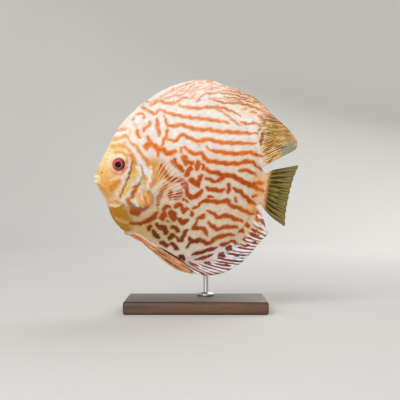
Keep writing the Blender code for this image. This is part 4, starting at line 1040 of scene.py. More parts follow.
def coat(name, roots, size, turn):
    """One joined mesh of scales, each lying back along the skin from its root."""
    place, normal = roots[:, 2:5], roots[:, 5:8]
    aft = np.stack([np.cos(turn), np.zeros(len(turn)), np.sin(turn)], -1)
    aft -= normal * (aft * normal).sum(axis=1, keepdims=True)
    aft /= np.linalg.norm(aft, axis=1, keepdims=True)
    side = np.cross(normal, aft)
    local = scale_points[None] * size[:, None, None]
    points = (place[:, None] + MM * (local[..., :1] * aft[:, None] + local[..., 1:2] * side[:, None]
                                     + local[..., 2:] * normal[:, None]))
    count = len(scale_points)
    faces = scale_faces[None] + np.arange(len(roots))[:, None, None] * count
    faces = faces.reshape(-1, 3)
    mesh = bpy.data.meshes.new(name)
    mesh.from_pydata(points.reshape(-1, 3).tolist(), [], faces.tolist())
    piece = bpy.data.objects.new(name, mesh)
    bpy.context.scene.collection.objects.link(piece)
    bake = mesh.uv_layers.new(name="OFBake")
    patch = scale_points[:, :2] / SCALE_LONG * BAKE_PATCH / 2
    at = roots[:, 8:10][:, None] + patch[None]
    bake.data.foreach_set("uv", at.reshape(-1, 2)[faces.reshape(-1)].reshape(-1))
    bpy.ops.object.select_all(action="DESELECT")
    piece.select_set(True)
    bpy.context.view_layer.objects.active = piece
    bpy.ops.object.mode_set(mode="EDIT")
    bpy.ops.mesh.select_all(action="SELECT")
    bpy.ops.mesh.normals_make_consistent(inside=False)
    bpy.ops.object.mode_set(mode="OBJECT")
    bpy.ops.object.shade_smooth_by_angle(angle=math.radians(40))
    mark(piece, np.repeat(roots[:, :2], count, axis=0))
    attribute(piece, "edge", np.tile(rim * 1.0, len(roots)))
    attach(piece, "root")
    return piece


scale_coat = skin_finish("scale_skin", 0.46)
to_edge = scale_coat.ramp(scale_coat.painted("edge", colour=False), 0.55, 1.0, 1.03, 0.84)
scale_coat.feed(scale_coat.shader.inputs["Base Color"],
                scale_coat.shade(scale_coat.colour, to_edge))
rings_on = scale_coat.noise(scale_coat.at, 2600.0, 2.0)
scale_coat.feed(scale_coat.shader.inputs["Normal"], scale_coat.bump(rings_on, 0.08, 0.0003))
chance = np.random.default_rng(7)
columns = np.arange(-60, 60, SCALE_PITCH)
rows = np.arange(-66, 68, SCALE_ROW)
for side, sign in (("left", -1), ("right", 1)):
    xs = (columns[None] + (np.arange(len(rows)) % 2)[:, None] * SCALE_PITCH / 2).ravel()
    zs = np.repeat(rows, len(columns))
    xs = xs + chance.uniform(-0.12, 0.12, len(xs))
    zs = zs + chance.uniform(-0.08, 0.08, len(zs))
    behind = xs > np.interp(zs, plan_z, in_front) + 1.0
    roots = rooted(xs[behind], zs[behind], sign)
    for part_name, chosen in (("front", roots[:, 0] < 4), ("rear", roots[:, 0] >= 4)):
        some = roots[chosen]
        lie = np.radians(-4 + 10 * some[:, 1] / 60 * np.sign(some[:, 0] + 5)) * 0.6
        size = chance.uniform(0.95, 1.06, len(some))
        scale_coat.wear(coat(f"scales_{side}_{part_name}", some, size, lie))
    xs = (np.arange(-68, -36, 1.15)[None] + (np.arange(60) % 2)[:, None] * 0.575).ravel()
    zs = np.repeat(-24 + 0.62 * np.arange(60), len(np.arange(-68, -36, 1.15)))
    cheek = ((xs < np.interp(zs, plan_z, in_front) + 0.6)
             & (from_plan(fold_away, xs, zs) > 1.15) & (xs > -66 + 0.35 * zs)
             & (np.hypot(xs - EYE_AT[0], zs - EYE_AT[1]) > 9.5) & (zs < 13 + 0.5 * (xs + 50)))
    some = rooted(xs[cheek], zs[cheek], sign)
    small = coat(f"scales_{side}_cheek", some, chance.uniform(0.55, 0.62, len(some)),
                 np.radians(np.full(len(some), -12.0)))
    scale_coat.wear(small)

# The eyes are glossy balls with a black pupil in a red iris, set in shallow sockets under a
# low ring of skin. They don't move.
PUPIL_AHEAD = 0.5
PUPIL_RADIUS = 2.6
IRIS_RADIUS = 5.0
RIM_RADIUS = 5.4
RIM_HALF = 0.4


def rim_of_eye(name, sign):
    """A soft ring of skin that follows the flank round the eye."""
    turns = np.linspace(0, 2 * math.pi, 97)
    section = np.linspace(0, 2 * math.pi, 17)
    points = np.empty((len(section), len(turns), 3))
    for c, turn in enumerate(turns):
        ray = np.array((math.cos(turn), math.sin(turn)))
        outer = on_skin(*(np.array(EYE_AT) + ray * (EYE_RADIUS + 1.1)), sign)[0]
        y = outer.y / MM - sign * 0.1
        points[:, c, 0] = EYE_AT[0] + ray[0] * (RIM_RADIUS + RIM_HALF * np.cos(section))
        points[:, c, 1] = y + sign * RIM_HALF * 0.75 * np.sin(section)
        points[:, c, 2] = EYE_AT[1] + ray[1] * (RIM_RADIUS + RIM_HALF * np.cos(section))
    return moulded(name, placed(points))


iris = Finish("eye", Roughness=0.3, Coat_Weight=0.12, Coat_Roughness=0.02,
              Specular_IOR_Level=0.05)
from_middle = iris.node("Mapping", Vector=iris.place())
from_middle.inputs["Location"].default_value = ((PUPIL_AHEAD - EYE_AT[0]) * MM, 0,
                                                  -(EYE_AT[1] + DISC_HEIGHT) * MM)
flat = iris.node("Mapping", Vector=from_middle.outputs["Vector"])
flat.inputs["Scale"].default_value = (1, 0, 1)
length = iris.node("VectorMath", Vector=flat.outputs["Vector"])
length.operation = "LENGTH"
radius = iris.math("MULTIPLY", length.outputs["Value"], 1000.0)
cloud = iris.noise(iris.place(), 1100.0, 3.0)
axis = iris.node("SeparateXYZ", Vector=flat.outputs["Vector"])
# The iris is lighter at its upper front and darker at its lower rear: painted light and shade, as from the lamp above
# and ahead.
lit = iris.math("SUBTRACT", axis.outputs["Z"], axis.outputs["X"])
red = iris.mix(iris.ramp(lit, -0.004, 0.005), (*linear("7d1420"), 1), (*linear("d9485a"), 1))
red = iris.mix(iris.ramp(cloud, 0.42, 0.66, 0.0, 0.5), red, (*linear("f08a7c"), 1))
red = iris.mix(iris.ramp(radius, PUPIL_RADIUS, PUPIL_RADIUS + 0.5, 0.5, 0.0), red,
               (*linear("f0a080"), 1))
red = iris.mix(iris.ramp(radius, IRIS_RADIUS - 0.8, IRIS_RADIUS, 0.0, 0.75), red,
               (*linear("5a0c14"), 1))
ragged = iris.math("ADD", radius, iris.math("MULTIPLY", cloud, 0.2))
iris.feed(iris.shader.inputs["Base Color"],
          iris.mix(iris.ramp(ragged, PUPIL_RADIUS - 0.05, PUPIL_RADIUS + 0.22), 
                   (*linear("0a0505"), 1), red))
iris.feed(iris.shader.inputs["Normal"], iris.bump(cloud, 0.05, 0.0003))
rim_finish = skin_finish("eye_rim_skin", 0.4)
rim_finish.feed(rim_finish.shader.inputs["Base Color"],
                rim_finish.mix(0.4, rim_finish.colour, (*linear("d07048"), 1)))
for side, sign in (("left", -1), ("right", 1)):
    low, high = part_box("eye_" + side)
    middle, reach = (low + high) / 2, (high - low) / 2
    bpy.ops.object.select_all(action="DESELECT")
    bpy.ops.mesh.primitive_uv_sphere_add(segments=64, ring_count=32, radius=1)
    ball = bpy.context.object
    ball.name = ball.data.name = "eyeball_" + side
    for vertex in ball.data.vertices:
        x, y, z = vertex.co
        dome = 1 - 0.12 * math.exp(-((x * x + y * y) / 0.30))
        vertex.co = middle + Vector((x * reach.x, -z * reach.y * dome, y * reach.z)) * 1.03
    bpy.ops.object.shade_smooth()
    iris.wear(ball)
    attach(ball, "root")
    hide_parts("eye_" + side)
    rim = rim_of_eye("eye_rim_" + side, sign)
    mark(rim)
    rim_finish.wear(rim)
    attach(rim, "root")

# The dorsal and anal fins are thin webs of skin on branching rays, with a row of stiff spines
# in front. They rise from the ridge of the back and belly, thick at the foot, and bend to a
# smooth margin; the dorsal fin ends in a short trailing tip.
DORSAL_FEET = ((-49.2, 53.4), (52.4, 7.8))
DORSAL_MARGIN = [
    (-49.4, 54.6), (-40.8, 60.4), (-30.4, 67.8), (-20.8, 72.6), (-10.0, 76.2), (3.2, 78.4),
    (14.0, 77.6), (23.2, 73.8), (37.6, 69.0), (48.8, 62.8), (60.8, 50.8), (75.2, 37.2),
    (81.2, 27.6), (80.0, 22.8), (74.0, 18.2), (64.8, 14.0), (54.2, 7.2),
]
DORSAL_TIPS = [(0, 0), (0.05, 0.08), (0.1, 0.16), (0.16, 0.22), (0.28, 0.36), (0.38, 0.49),
               (0.51, 0.58), (0.6, 0.64), (0.7, 0.697), (0.79, 0.75), (0.87, 0.78), (0.95, 0.81),
               (1, 0.845)]
DORSAL_LEAN = [(0, 50), (0.1, 42), (0.16, 37), (0.28, 29), (0.38, 22), (0.51, 15), (0.6, 8),
               (0.7, 8), (0.79, 13), (0.87, 23), (0.95, 33), (1, 26)]
ANAL_FEET = ((-37.0, -55.4), (47.8, -24.8))
ANAL_MARGIN = [
    (-37.2, -56.8), (-31.2, -61.4), (-22.4, -69.2), (-12.8, -74.4), (0.0, -77.4), (10.4, -78.6),
    (20.8, -76.6), (35.2, -69.2), (44.8, -59.6), (52.0, -50.8), (57.6, -44.4), (56.0, -40.4),
    (53.2, -30.0), (49.6, -24.6),
]
ANAL_TIPS = [(0, 0.2), (0.1, 0.31), (0.21, 0.42), (0.39, 0.57), (0.55, 0.67), (0.68, 0.735),
             (0.8, 0.79), (0.91, 0.86), (1, 1)]
ANAL_LEAN = [(0, -50), (0.1, -41), (0.21, -35), (0.39, -27), (0.55, -22), (0.68, -25),
             (0.8, -33), (0.91, -40), (1, -26)]
SPINES = {"dorsal": 9, "anal": 8}
RAYS = {"dorsal": 31, "anal": 30}
COLUMNS_PER_RAY = 9
FIN_ROWS = 84
FOOT_DEPTH = 1.4
WEB_HALF = 0.17
RAY_RISE = 0.2
SPINE_RISE = 0.34
BRANCH_START = 0.34


def fin_shell(name, middle, half, layers, across=None):
    """A closed thin fin: middle points by column and row, foot row first, and half its depth."""
    if across is None:
        across = np.zeros(middle.shape)
        across[..., 1] = 1
    half = half.copy()
    half[[0, -1]] = 0
    half[:, -1] = 0
    near = middle - across * half[..., None]
    far = (middle + across * half[..., None])[:, ::-1][:, 1:]
    foot = middle[:, :1]
    points = np.concatenate([foot, near, far, foot], axis=1).transpose(1, 0, 2)
    spread = {key: np.concatenate([value[:, :1], value, value[:, ::-1][:, 1:], value[:, :1]],
                                  axis=1).T for key, value in layers.items()}
    return moulded(name, placed(points), spread)


def ridges(columns_at, steps, spines, fine=1.0, branch=BRANCH_START):
    """How much of a ray or spine lies at each column and row, each ray forking to the margin."""
    number, part = np.divmod(columns_at, 1.0)
    off = np.abs(part - 0.5)[:, None]
    fork = 0.25 * step_between(steps, branch, branch + 0.46)[None]
    twig = 0.09 * step_between(steps, 0.66, 1.0)[None] * (fine == 1.0)
    away = np.abs(off - fork)
    away = np.abs(away - twig) * (twig > 0) + away * (twig <= 0)
    soft = np.exp(-(away / (0.13 - 0.05 * steps) / fine) ** 2)
    stiff = np.exp(-(off / (0.16 - 0.06 * steps)) ** 2)
    return np.where((number < spines)[:, None], stiff, soft)


def edge_fin(name, outline, feet, margin, tips, lean, out):
    """A fin along the back or belly, foot to margin, with its rays raised on both faces."""
    count = SPINES[name] + RAYS[name]
    columns = count * COLUMNS_PER_RAY + 1
    v = np.linspace(0, 1, columns)
    shares = share_near(outline, feet[0]) * (1 - v) + share_near(outline, feet[1]) * v
    ahead = at_share(outline, shares + 0.004) - at_share(outline, shares - 0.004)
    side = np.stack([-ahead[:, 1], ahead[:, 0]], -1) * out
    side /= np.linalg.norm(side, axis=1, keepdims=True)
    foot = at_share(outline, shares) - side * FOOT_DEPTH
    part = v * count
    tip = at_share(smooth_line(margin, 600), np.interp(v, *np.array(tips, float).T))
    tip = foot + (tip - foot) * (1 - np.where(part < SPINES[name], 0.018, 0.006)
                                 * (1 + np.cos(2 * math.pi * part)) / 2)[:, None]
    angle = np.radians(np.interp(v, *np.array(lean, float).T))
    heading = np.stack([np.cos(angle), np.sin(angle)], -1)
    bend = foot + heading * np.linalg.norm(tip - foot, axis=1, keepdims=True) / 2
    steps = np.linspace(0, 1, FIN_ROWS)
    t = steps[None, :, None]
    line = (foot[:, None] * (1 - t) ** 2 + 2 * bend[:, None] * t * (1 - t) + tip[:, None] * t * t)
    middle = np.stack([line[..., 0], np.zeros(line.shape[:2]), line[..., 1]], -1)
    ray = ridges(part, steps, SPINES[name])
    rise = np.where(part < SPINES[name], SPINE_RISE, RAY_RISE)[:, None] * (1 - 0.75 * steps)
    root = (eased(RIDGE_HALF, shares) + 0.5)[:, None]
    thick = np.clip(1 - steps / 0.42, 0, 1) ** 1.7
    half = WEB_HALF * (1 - 0.4 * steps) + (root - WEB_HALF) * thick + ray * rise * (1 - thick)
    half *= 1 - step_between(steps, 0.975, 1.0) * 0.6
    return middle, half, ray, np.repeat(steps[None], columns, axis=0), part


def fin_finish(name, ray_mix, streaks, pale, even, per_ray, twice_at=2.0, clear_to=0.25):
    """Skin over rays: the markings of the plan, then fine streaks that run along the rays."""
    finish = skin_finish(name, 0.42, 0.1, 0.16, 0.5)
    rays = finish.map_of("Rays", (streaks[0], streaks[1], 1))
    dashes = finish.noise(rays, 1.0, 2.0, 0.6)
    pale_dashes = finish.noise(finish.map_of("Rays", (streaks[0] * 1.3, streaks[1] * 0.8, 1)), 1.0, 2.0)
    streak = finish.painted("streak", colour=False)
    ray = finish.painted("ray", colour=False)
    number = finish.node("SeparateXYZ", Vector=finish.map_of("Rays")).outputs["X"]
    once, twice = (finish.math("MULTIPLY", finish.math("COSINE", finish.math(
        "MULTIPLY", number, 2 * math.pi * times)), even) for times in (per_ray, 2 * per_ray))
    doubled = finish.ramp(streak, twice_at, twice_at + 0.4)
    once = finish.math("MULTIPLY", once, finish.math("SUBTRACT", 1.0, doubled))
    wave = finish.math("ADD", once, finish.math("MULTIPLY", twice, doubled))
    dashes = finish.math("ADD", dashes, wave)
    pale_dashes = finish.math("SUBTRACT", pale_dashes, wave)
    lines = finish.math("MULTIPLY", finish.ramp(dashes, 0.46, 0.56), streak)
    colour = finish.mix(lines, finish.colour, finish.painted("ink"))
    lights = finish.math("MULTIPLY", finish.ramp(pale_dashes, 0.53, 0.62), streak)
    colour = finish.mix(finish.math("MULTIPLY", lights, ray_mix[2]), colour, (*linear(pale), 1))
    colour = finish.mix(finish.math("MULTIPLY", ray, ray_mix[0]), colour, (*linear(ray_mix[1]), 1))
    finish.feed(finish.shader.inputs["Base Color"], colour)
    web = finish.math("SUBTRACT", 1.0, finish.math("MULTIPLY", ray, 0.85))
    seen = finish.math("MULTIPLY", finish.painted("clear", colour=False), web)
    finish.feed(finish.shader.inputs["Alpha"],
                finish.math("SUBTRACT", 1.0, finish.math("MULTIPLY", seen, 1 - clear_to)))
    fine = finish.noise(finish.map_of("Rays", (3.0, 60.0, 1)), 1.0, 2.0)
    finish.feed(finish.shader.inputs["Normal"], finish.bump(fine, 0.1, 0.0004))
    return finish


def along_rays(piece, rays):
    """Turns the grid's own map into one that counts the rays across and runs along them."""
    layer = piece.data.uv_layers[0]
    layer.name = "Rays"
    flat = np.empty(len(layer.data) * 2)
    layer.data.foreach_get("uv", flat)
    uv = flat.reshape(-1, 2)
    uv = np.stack([uv[:, 0] * rays, 1 - np.abs(2 * uv[:, 1] - 1)], -1)
    layer.data.foreach_set("uv", uv.reshape(-1))


def fin_piece(piece, finish, rays, node):
    along_rays(piece, rays)
    if "ground" not in piece.data.attributes:
        mark(piece)
    finish.wear(piece)
    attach(piece, "root")
    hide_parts(node)


middle, half, ray, steps, part = edge_fin("dorsal", crown, DORSAL_FEET, DORSAL_MARGIN,
                                          DORSAL_TIPS, DORSAL_LEAN, 1)
x, z = middle[..., 0], middle[..., 2]
gold_end = np.minimum(0.75 * x - 0.66 * z - 35.8, 29.0 - z)
clear = step_between(gold_end, 0.2, 1.6) * step_between(x, 56, 62) * 0.85
rear = step_between(x + 0.08 * z, 53, 58)
streak = np.maximum(step_between(steps, 0.2, 0.6) * step_between(x, -20, 40) * 0.3,
                    rear * (1 - clear))
dorsal_fin = fin_shell("dorsal_web", middle, half, {"ray": ray, "clear": clear, "streak": streak})
fin_piece(dorsal_fin, fin_finish("dorsal_fin_skin", (0.1, "f4dcae", 0.5), (1.1, 4.2), "faeab8", 0.11,
                                 1.0, 0.55), 40, "dorsal_fin")

middle, half, ray, steps, part = edge_fin("anal", keel, ANAL_FEET, ANAL_MARGIN, ANAL_TIPS,
                                          ANAL_LEAN, -1)
x, z = middle[..., 0], middle[..., 2]
streak = step_between(steps, 0.2, 0.5) * 0.95
clear = step_between(steps, 0.86, 1.0) * 0.15
anal_fin = fin_shell("anal_web", middle, half, {"ray": ray, "clear": clear, "streak": streak})
fin_piece(anal_fin, fin_finish("anal_fin_skin", (0.06, "f2ecf4", 0.9), (0.8, 2.6), "f4f2fa", 0.1,
                              0.62), 38, "anal_fin")

# The tail fin is a short fan of forked rays with a clear hind edge, half folded. It starts at
# the flat end of the tail root.
TAIL_TOP = [(57.5, 2.2), (63.2, 5.4), (71.2, 7.4), (82.4, 10.0)]
TAIL_BOTTOM = [(53.5, -21.0), (57.6, -27.4), (63.2, -33.4), (71.2, -39.6)]
TAIL_REAR = [(82.4, 10.0), (77.6, -2.0), (74.4, -14.8), (72.0, -27.6), (71.2, -39.6)]
TAIL_RAYS = 10
TAIL_GROUND = [(0, "f2bc8c"), (2.6, "e2a864"), (4.4, "6a4c1c"), (9, "3a2e0e"), (14, "4a4018"),
               (20, "56501f"), (28, "4a4624")]
TAIL_INK = [(0, "c8702c"), (3, "6a3c10"), (6, "2a1a06"), (18, "3a300e"), (28, "3a361c")]
TAIL_STEPS = 72
TAIL_DEPTH = 2.2

columns = TAIL_RAYS * 18 + 1
v = np.linspace(0, 1, columns)
steps = np.linspace(0, 1, TAIL_STEPS)
top = at_share(smooth_line(TAIL_TOP, 60), steps)
bottom = at_share(smooth_line(TAIL_BOTTOM, 60), steps)
rear = at_share(smooth_line(TAIL_REAR, 200), v)
end_top, end_bottom = at_share(crown, 1), at_share(keel, 1)
chord = end_top - end_bottom
out = np.array((chord[1], -chord[0])) / np.linalg.norm(chord)
foot = end_top * (1 - v)[:, None] + end_bottom * v[:, None] - out * TAIL_DEPTH
scallop = 1 - 0.02 * (1 + np.cos(2 * math.pi * v * TAIL_RAYS)) / 2
rear = foot + (rear - foot) * scallop[:, None]
straight = foot[:, None] + (rear - foot)[:, None] * steps[None, :, None]
bow_top = top - (top[0] + (top[-1] - top[0]) * steps[:, None])
bow_bottom = bottom - (bottom[0] + (bottom[-1] - bottom[0]) * steps[:, None])
line = straight + bow_top[None] * ((1 - v) ** 2)[:, None, None] + bow_bottom[None] * (v**2)[:, None, None]
middle = np.stack([line[..., 0], np.zeros(line.shape[:2]), line[..., 1]], -1)
ray = ridges(v * TAIL_RAYS, steps, 0)
thick = np.clip(1 - steps / 0.4, 0, 1) ** 1.6
root = 0.3 + 2.6 * np.sqrt(np.clip(1 - (2 * v - 1) ** 2, 0, 1))[:, None]
half = WEB_HALF * (1 - 0.4 * steps) + (root - WEB_HALF) * thick + ray * 0.26 * (1 - 0.7 * steps)
reached = np.repeat(steps[None], columns, axis=0)
layers = {"ray": ray, "clear": step_between(reached, 0.5, 1.0) * 0.45,
          "streak": step_between(reached, 0.1, 0.22) * 0.45}
tail_fin = fin_shell("tail_web", middle, half, layers)
out_along = points_of(tail_fin)[:, 0] - 54.0 - 0.17 * (points_of(tail_fin)[:, 2] + 10)
attribute(tail_fin, "stripe", np.full(len(out_along), NO_STRIPE))
for layer, tones in (("ground", TAIL_GROUND), ("ink", TAIL_INK)):
    reach_of_tone = [r for r, code in tones]
    attribute(tail_fin, layer, np.stack([
        np.interp(out_along, reach_of_tone, [linear(code)[i] for r, code in tones])
        for i in range(3)], -1))
fin_piece(tail_fin, fin_finish("tail_fin_skin", (0.62, "ab9542", 0.8), (1.6, 4.0), "a8964c",
                              0.06, 1.0), TAIL_RAYS,
          "tail_fin")

# Each pectoral fin is a clear fan of forked rays on a round fleshy pad behind the gill cover,
# spread a little way off the flank.
PECTORAL_PAD = (5.0, 1.9, 6.0)
PECTORAL_BASE = [(-38.8, -12.2), (-36.4, -16.0), (-36.2, -20.6)]
PECTORAL_TIPS = [(-30.4, 11.6), (-26.4, 15.4), (-19.2, 13.8), (-14.0, 7.6), (-7.4, -2.0),
                 (-7.4, -10.0), (-14.0, -18.0), (-19.2, -22.8)]
PECTORAL_RAYS = 15
PECTORAL_SPREAD = {"left": 18.0, "right": 22.0}
PECTORAL_LIFT = 1.0
PECTORAL_CURL = 0.006

fan_finish = Finish("clear_fan", Roughness=0.4, Coat_Weight=0.1, Coat_Roughness=0.15,
                    Specular_IOR_Level=0.2)
ray = fan_finish.painted("ray", colour=False)
foot_share = fan_finish.painted("streak", colour=False)
# Beside each white ray core the fin is tinted b88252 and faintly opaque: painted shade along the ray's sides.
core = fan_finish.ramp(ray, 0.5, 0.82)
tint = fan_finish.mix(core, (*linear("b88252"), 1), (*linear("fffaf2"), 1))
tint = fan_finish.mix(foot_share, tint, (*linear("dd9a50"), 1))
fan_finish.feed(fan_finish.shader.inputs["Base Color"], tint)
far = fan_finish.ramp(fan_finish.painted("clear", colour=False), 0.45, 1.0, 1.0, 0.6)
thin = fan_finish.math("MAXIMUM", fan_finish.math("MULTIPLY", core, far), fan_finish.ramp(ray, 0.18, 0.4, 0.01, 0.09))
cover = fan_finish.math("MAXIMUM", thin, foot_share)
fan_finish.feed(fan_finish.shader.inputs["Alpha"], fan_finish.math("MULTIPLY", cover, 0.92))
fan_finish.feed(fan_finish.shader.inputs["Normal"], fan_finish.bump(
    fan_finish.noise(fan_finish.map_of("Rays", (2.0, 40.0, 1)), 1.0), 0.1, 0.0004))
pad_finish = skin_finish("fin_pad_skin", 0.4)
pad_place = pad_finish.node("Mapping", Vector=pad_finish.place())
pad_place.inputs["Location"].default_value = (-(PECTORAL_AT[0] - 5.5) * MM, 0,
                                              -(PECTORAL_AT[1] + DISC_HEIGHT - 1.0) * MM)
pad_flat = pad_finish.node("Mapping", Vector=pad_place.outputs["Vector"])
pad_flat.inputs["Scale"].default_value = (1, 0, 0.8)
arcs = pad_finish.node("TexWave", Vector=pad_flat.outputs["Vector"], Scale=170.0, Distortion=1.2)
arcs.wave_type = "RINGS"
arcs.rings_direction = "SPHERICAL"
arc_tint = pad_finish.mix(arcs.outputs["Fac"], (*linear("c9772c"), 1), (*linear("f0b070"), 1))
pad_finish.feed(pad_finish.shader.inputs["Base Color"],
                pad_finish.mix(0.18, pad_finish.colour, arc_tint))
for side, sign in (("left", -1), ("right", 1)):
    columns = PECTORAL_RAYS * 20 + 1
    steps = np.linspace(0, 1, 60)
    feet = at_share(smooth_line(PECTORAL_BASE, 60), np.linspace(0, 1, columns))
    tips = at_share(smooth_line(PECTORAL_TIPS, 200), np.linspace(0, 1, columns))
    pad_y = abs(on_skin(*PECTORAL_AT, sign)[0].y) / MM
    lift = math.tan(math.radians(PECTORAL_SPREAD[side]))
    part = np.linspace(0, PECTORAL_RAYS, columns)
    tips = feet + (tips - feet) * (1 - 0.03 * (1 + np.cos(2 * math.pi * part)) / 2)[:, None]
    line = feet[:, None] + (tips - feet)[:, None] * steps[None, :, None]
    away = np.linalg.norm(line - feet[:, None], axis=2)
    height = pad_y + PECTORAL_LIFT + away * lift - PECTORAL_CURL * away**2
    middle = np.stack([line[..., 0], sign * height, line[..., 1]], -1)
    ray = ridges(part, steps, 0, 0.8, 0.62)
    thick = np.clip(1 - steps / 0.25, 0, 1) ** 1.5
    half = 0.1 + 0.7 * thick + ray * 0.16 * (1 - 0.7 * steps)
    reached = np.repeat(steps[None], columns, axis=0)
    normal = np.cross(np.gradient(middle, axis=0), np.gradient(middle, axis=1))
    normal /= np.linalg.norm(normal, axis=2, keepdims=True)
    fan = fin_shell("pectoral_web_" + side, middle, half,
                    {"ray": ray, "clear": reached, "streak": 1 - step_between(reached, 0.0, 0.14)},
                    normal)
    along_rays(fan, PECTORAL_RAYS)
    fan_finish.wear(fan)
    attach(fan, "root")
    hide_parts("pectoral_fin_" + side)
    bpy.ops.object.select_all(action="DESELECT")
    bpy.ops.mesh.primitive_uv_sphere_add(segments=48, ring_count=24, radius=1)
    pad = bpy.context.object
    pad.name = pad.data.name = "pectoral_pad_" + side
    ball = np.array([v.co for v in pad.data.vertices])
    fold_at = 0.03 * np.sin(9 * np.hypot(ball[:, 0] + 1.1, ball[:, 1]))
    ball = np.stack([ball[:, 0], ball[:, 2], -ball[:, 1]], -1) * (1 + fold_at)[:, None]
    ball = ball * PECTORAL_PAD + (PECTORAL_AT[0], sign * (pad_y - 0.35), PECTORAL_AT[1])
    pad.data.vertices.foreach_set("co", placed(ball).reshape(-1))
    bpy.ops.object.shade_smooth()
    mark(pad)
    pad_finish.wear(pad)
    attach(pad, "root")

# The pelvic fins are long and narrow, a spine and five rays folded together, and lie back under
# the belly towards the anal fin.
PELVIC_TOP = [(-56.0, -42.6), (-44.8, -45.4), (-36.0, -51.6), (-22.4, -59.0), (-10.4, -66.6),
              (-3.0, -75.0)]
PELVIC_BOTTOM = [(-56.4, -44.6), (-44.8, -51.0), (-36.8, -57.2), (-24.4, -67.8), (-12.8, -74.6),
                 (-3.2, -76.8)]
PELVIC_PAD_AT = (-52.8, 3.4, -44.2)
PELVIC_PAD = (4.4, 1.7, 2.1)
PELVIC_RAYS = 6
PELVIC_CLEAR = 0.9
PELVIC_NEAREST = 2.4

pelvic_finish = Finish("pelvic_fin_skin", Roughness=0.4, Coat_Weight=0.1, Coat_Roughness=0.15,
                       Specular_IOR_Level=0.2)
across_rays = pelvic_finish.map_of("Rays")
split = pelvic_finish.node("SeparateXYZ", Vector=across_rays)
streaky = pelvic_finish.noise(pelvic_finish.map_of("Rays", (1.5, 2.4, 1)), 1.0, 3.0)
red = pelvic_finish.mix(pelvic_finish.ramp(streaky, 0.42, 0.58), (*linear("b8452c"), 1),
                        (*linear("ec8a68"), 1))
tan = pelvic_finish.mix(pelvic_finish.ramp(streaky, 0.44, 0.54), (*linear("7c3416"), 1),
                        (*linear("dc9c64"), 1))
back = pelvic_finish.math("ADD", split.outputs["Y"], pelvic_finish.math(
    "MULTIPLY", split.outputs["X"], 0.06))
colour = pelvic_finish.mix(pelvic_finish.ramp(back, 0.36, 0.66), red, tan)
# Cream streaks over the fin: painted glints.
glints = pelvic_finish.noise(pelvic_finish.map_of("Rays", (1.6, 6.0, 1)), 1.0, 2.0)
colour = pelvic_finish.mix(pelvic_finish.ramp(glints, 0.56, 0.66, 0.0, 0.8), colour,
                           (*linear("f0d4b8"), 1))
# A pale pink band along the top edge of the front part: painted highlight.
shine = pelvic_finish.math("MULTIPLY", pelvic_finish.ramp(split.outputs["X"], 0.9, 1.7, 1.0, 0.0),
                           pelvic_finish.ramp(split.outputs["Y"], 0.42, 0.5, 0.9, 0.0))
colour = pelvic_finish.mix(shine, colour, (*linear("f6d8d2"), 1))
# A dark line along the top edge of the rear part: painted shadow under the folded fin's edge.
edge = pelvic_finish.math("MULTIPLY", pelvic_finish.ramp(split.outputs["X"], 0.3, 0.7, 1.0, 0.0),
                          pelvic_finish.ramp(split.outputs["Y"], 0.46, 0.54))
colour = pelvic_finish.mix(edge, colour, (*linear("3a1a0e"), 1))
pelvic_finish.feed(pelvic_finish.shader.inputs["Base Color"], colour)
pelvic_finish.feed(pelvic_finish.shader.inputs["Normal"], pelvic_finish.bump(
    pelvic_finish.noise(pelvic_finish.map_of("Rays", (3.0, 70.0, 1)), 1.0), 0.12, 0.0004))
for side, sign in (("left", -1), ("right", 1)):
    columns = PELVIC_RAYS * 10 + 1
    steps = np.linspace(0, 1, 110)
    v = np.linspace(0, 1, columns)
    top = at_share(smooth_line(PELVIC_TOP, 100), steps)
    bottom = at_share(smooth_line(PELVIC_BOTTOM, 100), steps)
    line = top[None] * (1 - v)[:, None, None] + bottom[None] * v[:, None, None]
    beside_body = np.empty(line.shape[:2])
    for c in range(columns):
        for r in range(len(steps)):
            found = on_skin(line[c, r, 0], line[c, r, 1], sign)
            beside_body[c, r] = abs(found[0].y) / MM if found else 0.0
    height = np.maximum(beside_body, PELVIC_NEAREST)
    for turn in range(12):
        height[1:-1] = (height[:-2] + height[1:-1] * 2 + height[2:]) / 4
        height[:, 1:-1] = (height[:, :-2] + height[:, 1:-1] * 2 + height[:, 2:]) / 4
    middle = np.stack([line[..., 0], sign * (height + PELVIC_CLEAR), line[..., 1]], -1)
    ray = ridges(v * PELVIC_RAYS, steps, 1)
    half = 0.14 + 0.4 * np.clip(1 - steps / 0.3, 0, 1) + ray * 0.3 * (1 - 0.6 * steps)
    normal = np.cross(np.gradient(middle, axis=0), np.gradient(middle, axis=1))
    normal /= np.maximum(np.linalg.norm(normal, axis=2, keepdims=True), 1e-9)
    blade = fin_shell("pelvic_web_" + side, middle, half, {"ray": ray}, normal)
    along_rays(blade, PELVIC_RAYS)
    pelvic_finish.wear(blade)
    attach(blade, "root")
    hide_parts("pelvic_fin_" + side)
    bpy.ops.object.select_all(action="DESELECT")
    bpy.ops.mesh.primitive_uv_sphere_add(segments=40, ring_count=20, radius=1)
    root = bpy.context.object
    root.name = root.data.name = "pelvic_root_" + side
    ball = np.array([v.co for v in root.data.vertices])
    x, y, z = PELVIC_PAD_AT
    ball = np.stack([ball[:, 0], ball[:, 2], -ball[:, 1]], -1) * PELVIC_PAD + (x, sign * y, z)
    root.data.vertices.foreach_set("co", placed(ball).reshape(-1))
    bpy.ops.object.shade_smooth()
    mark(root)
    skin_coat.wear(root)
    attribute(root, "painted_mouth_shade", np.zeros(len(root.data.vertices)))
    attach(root, "root")

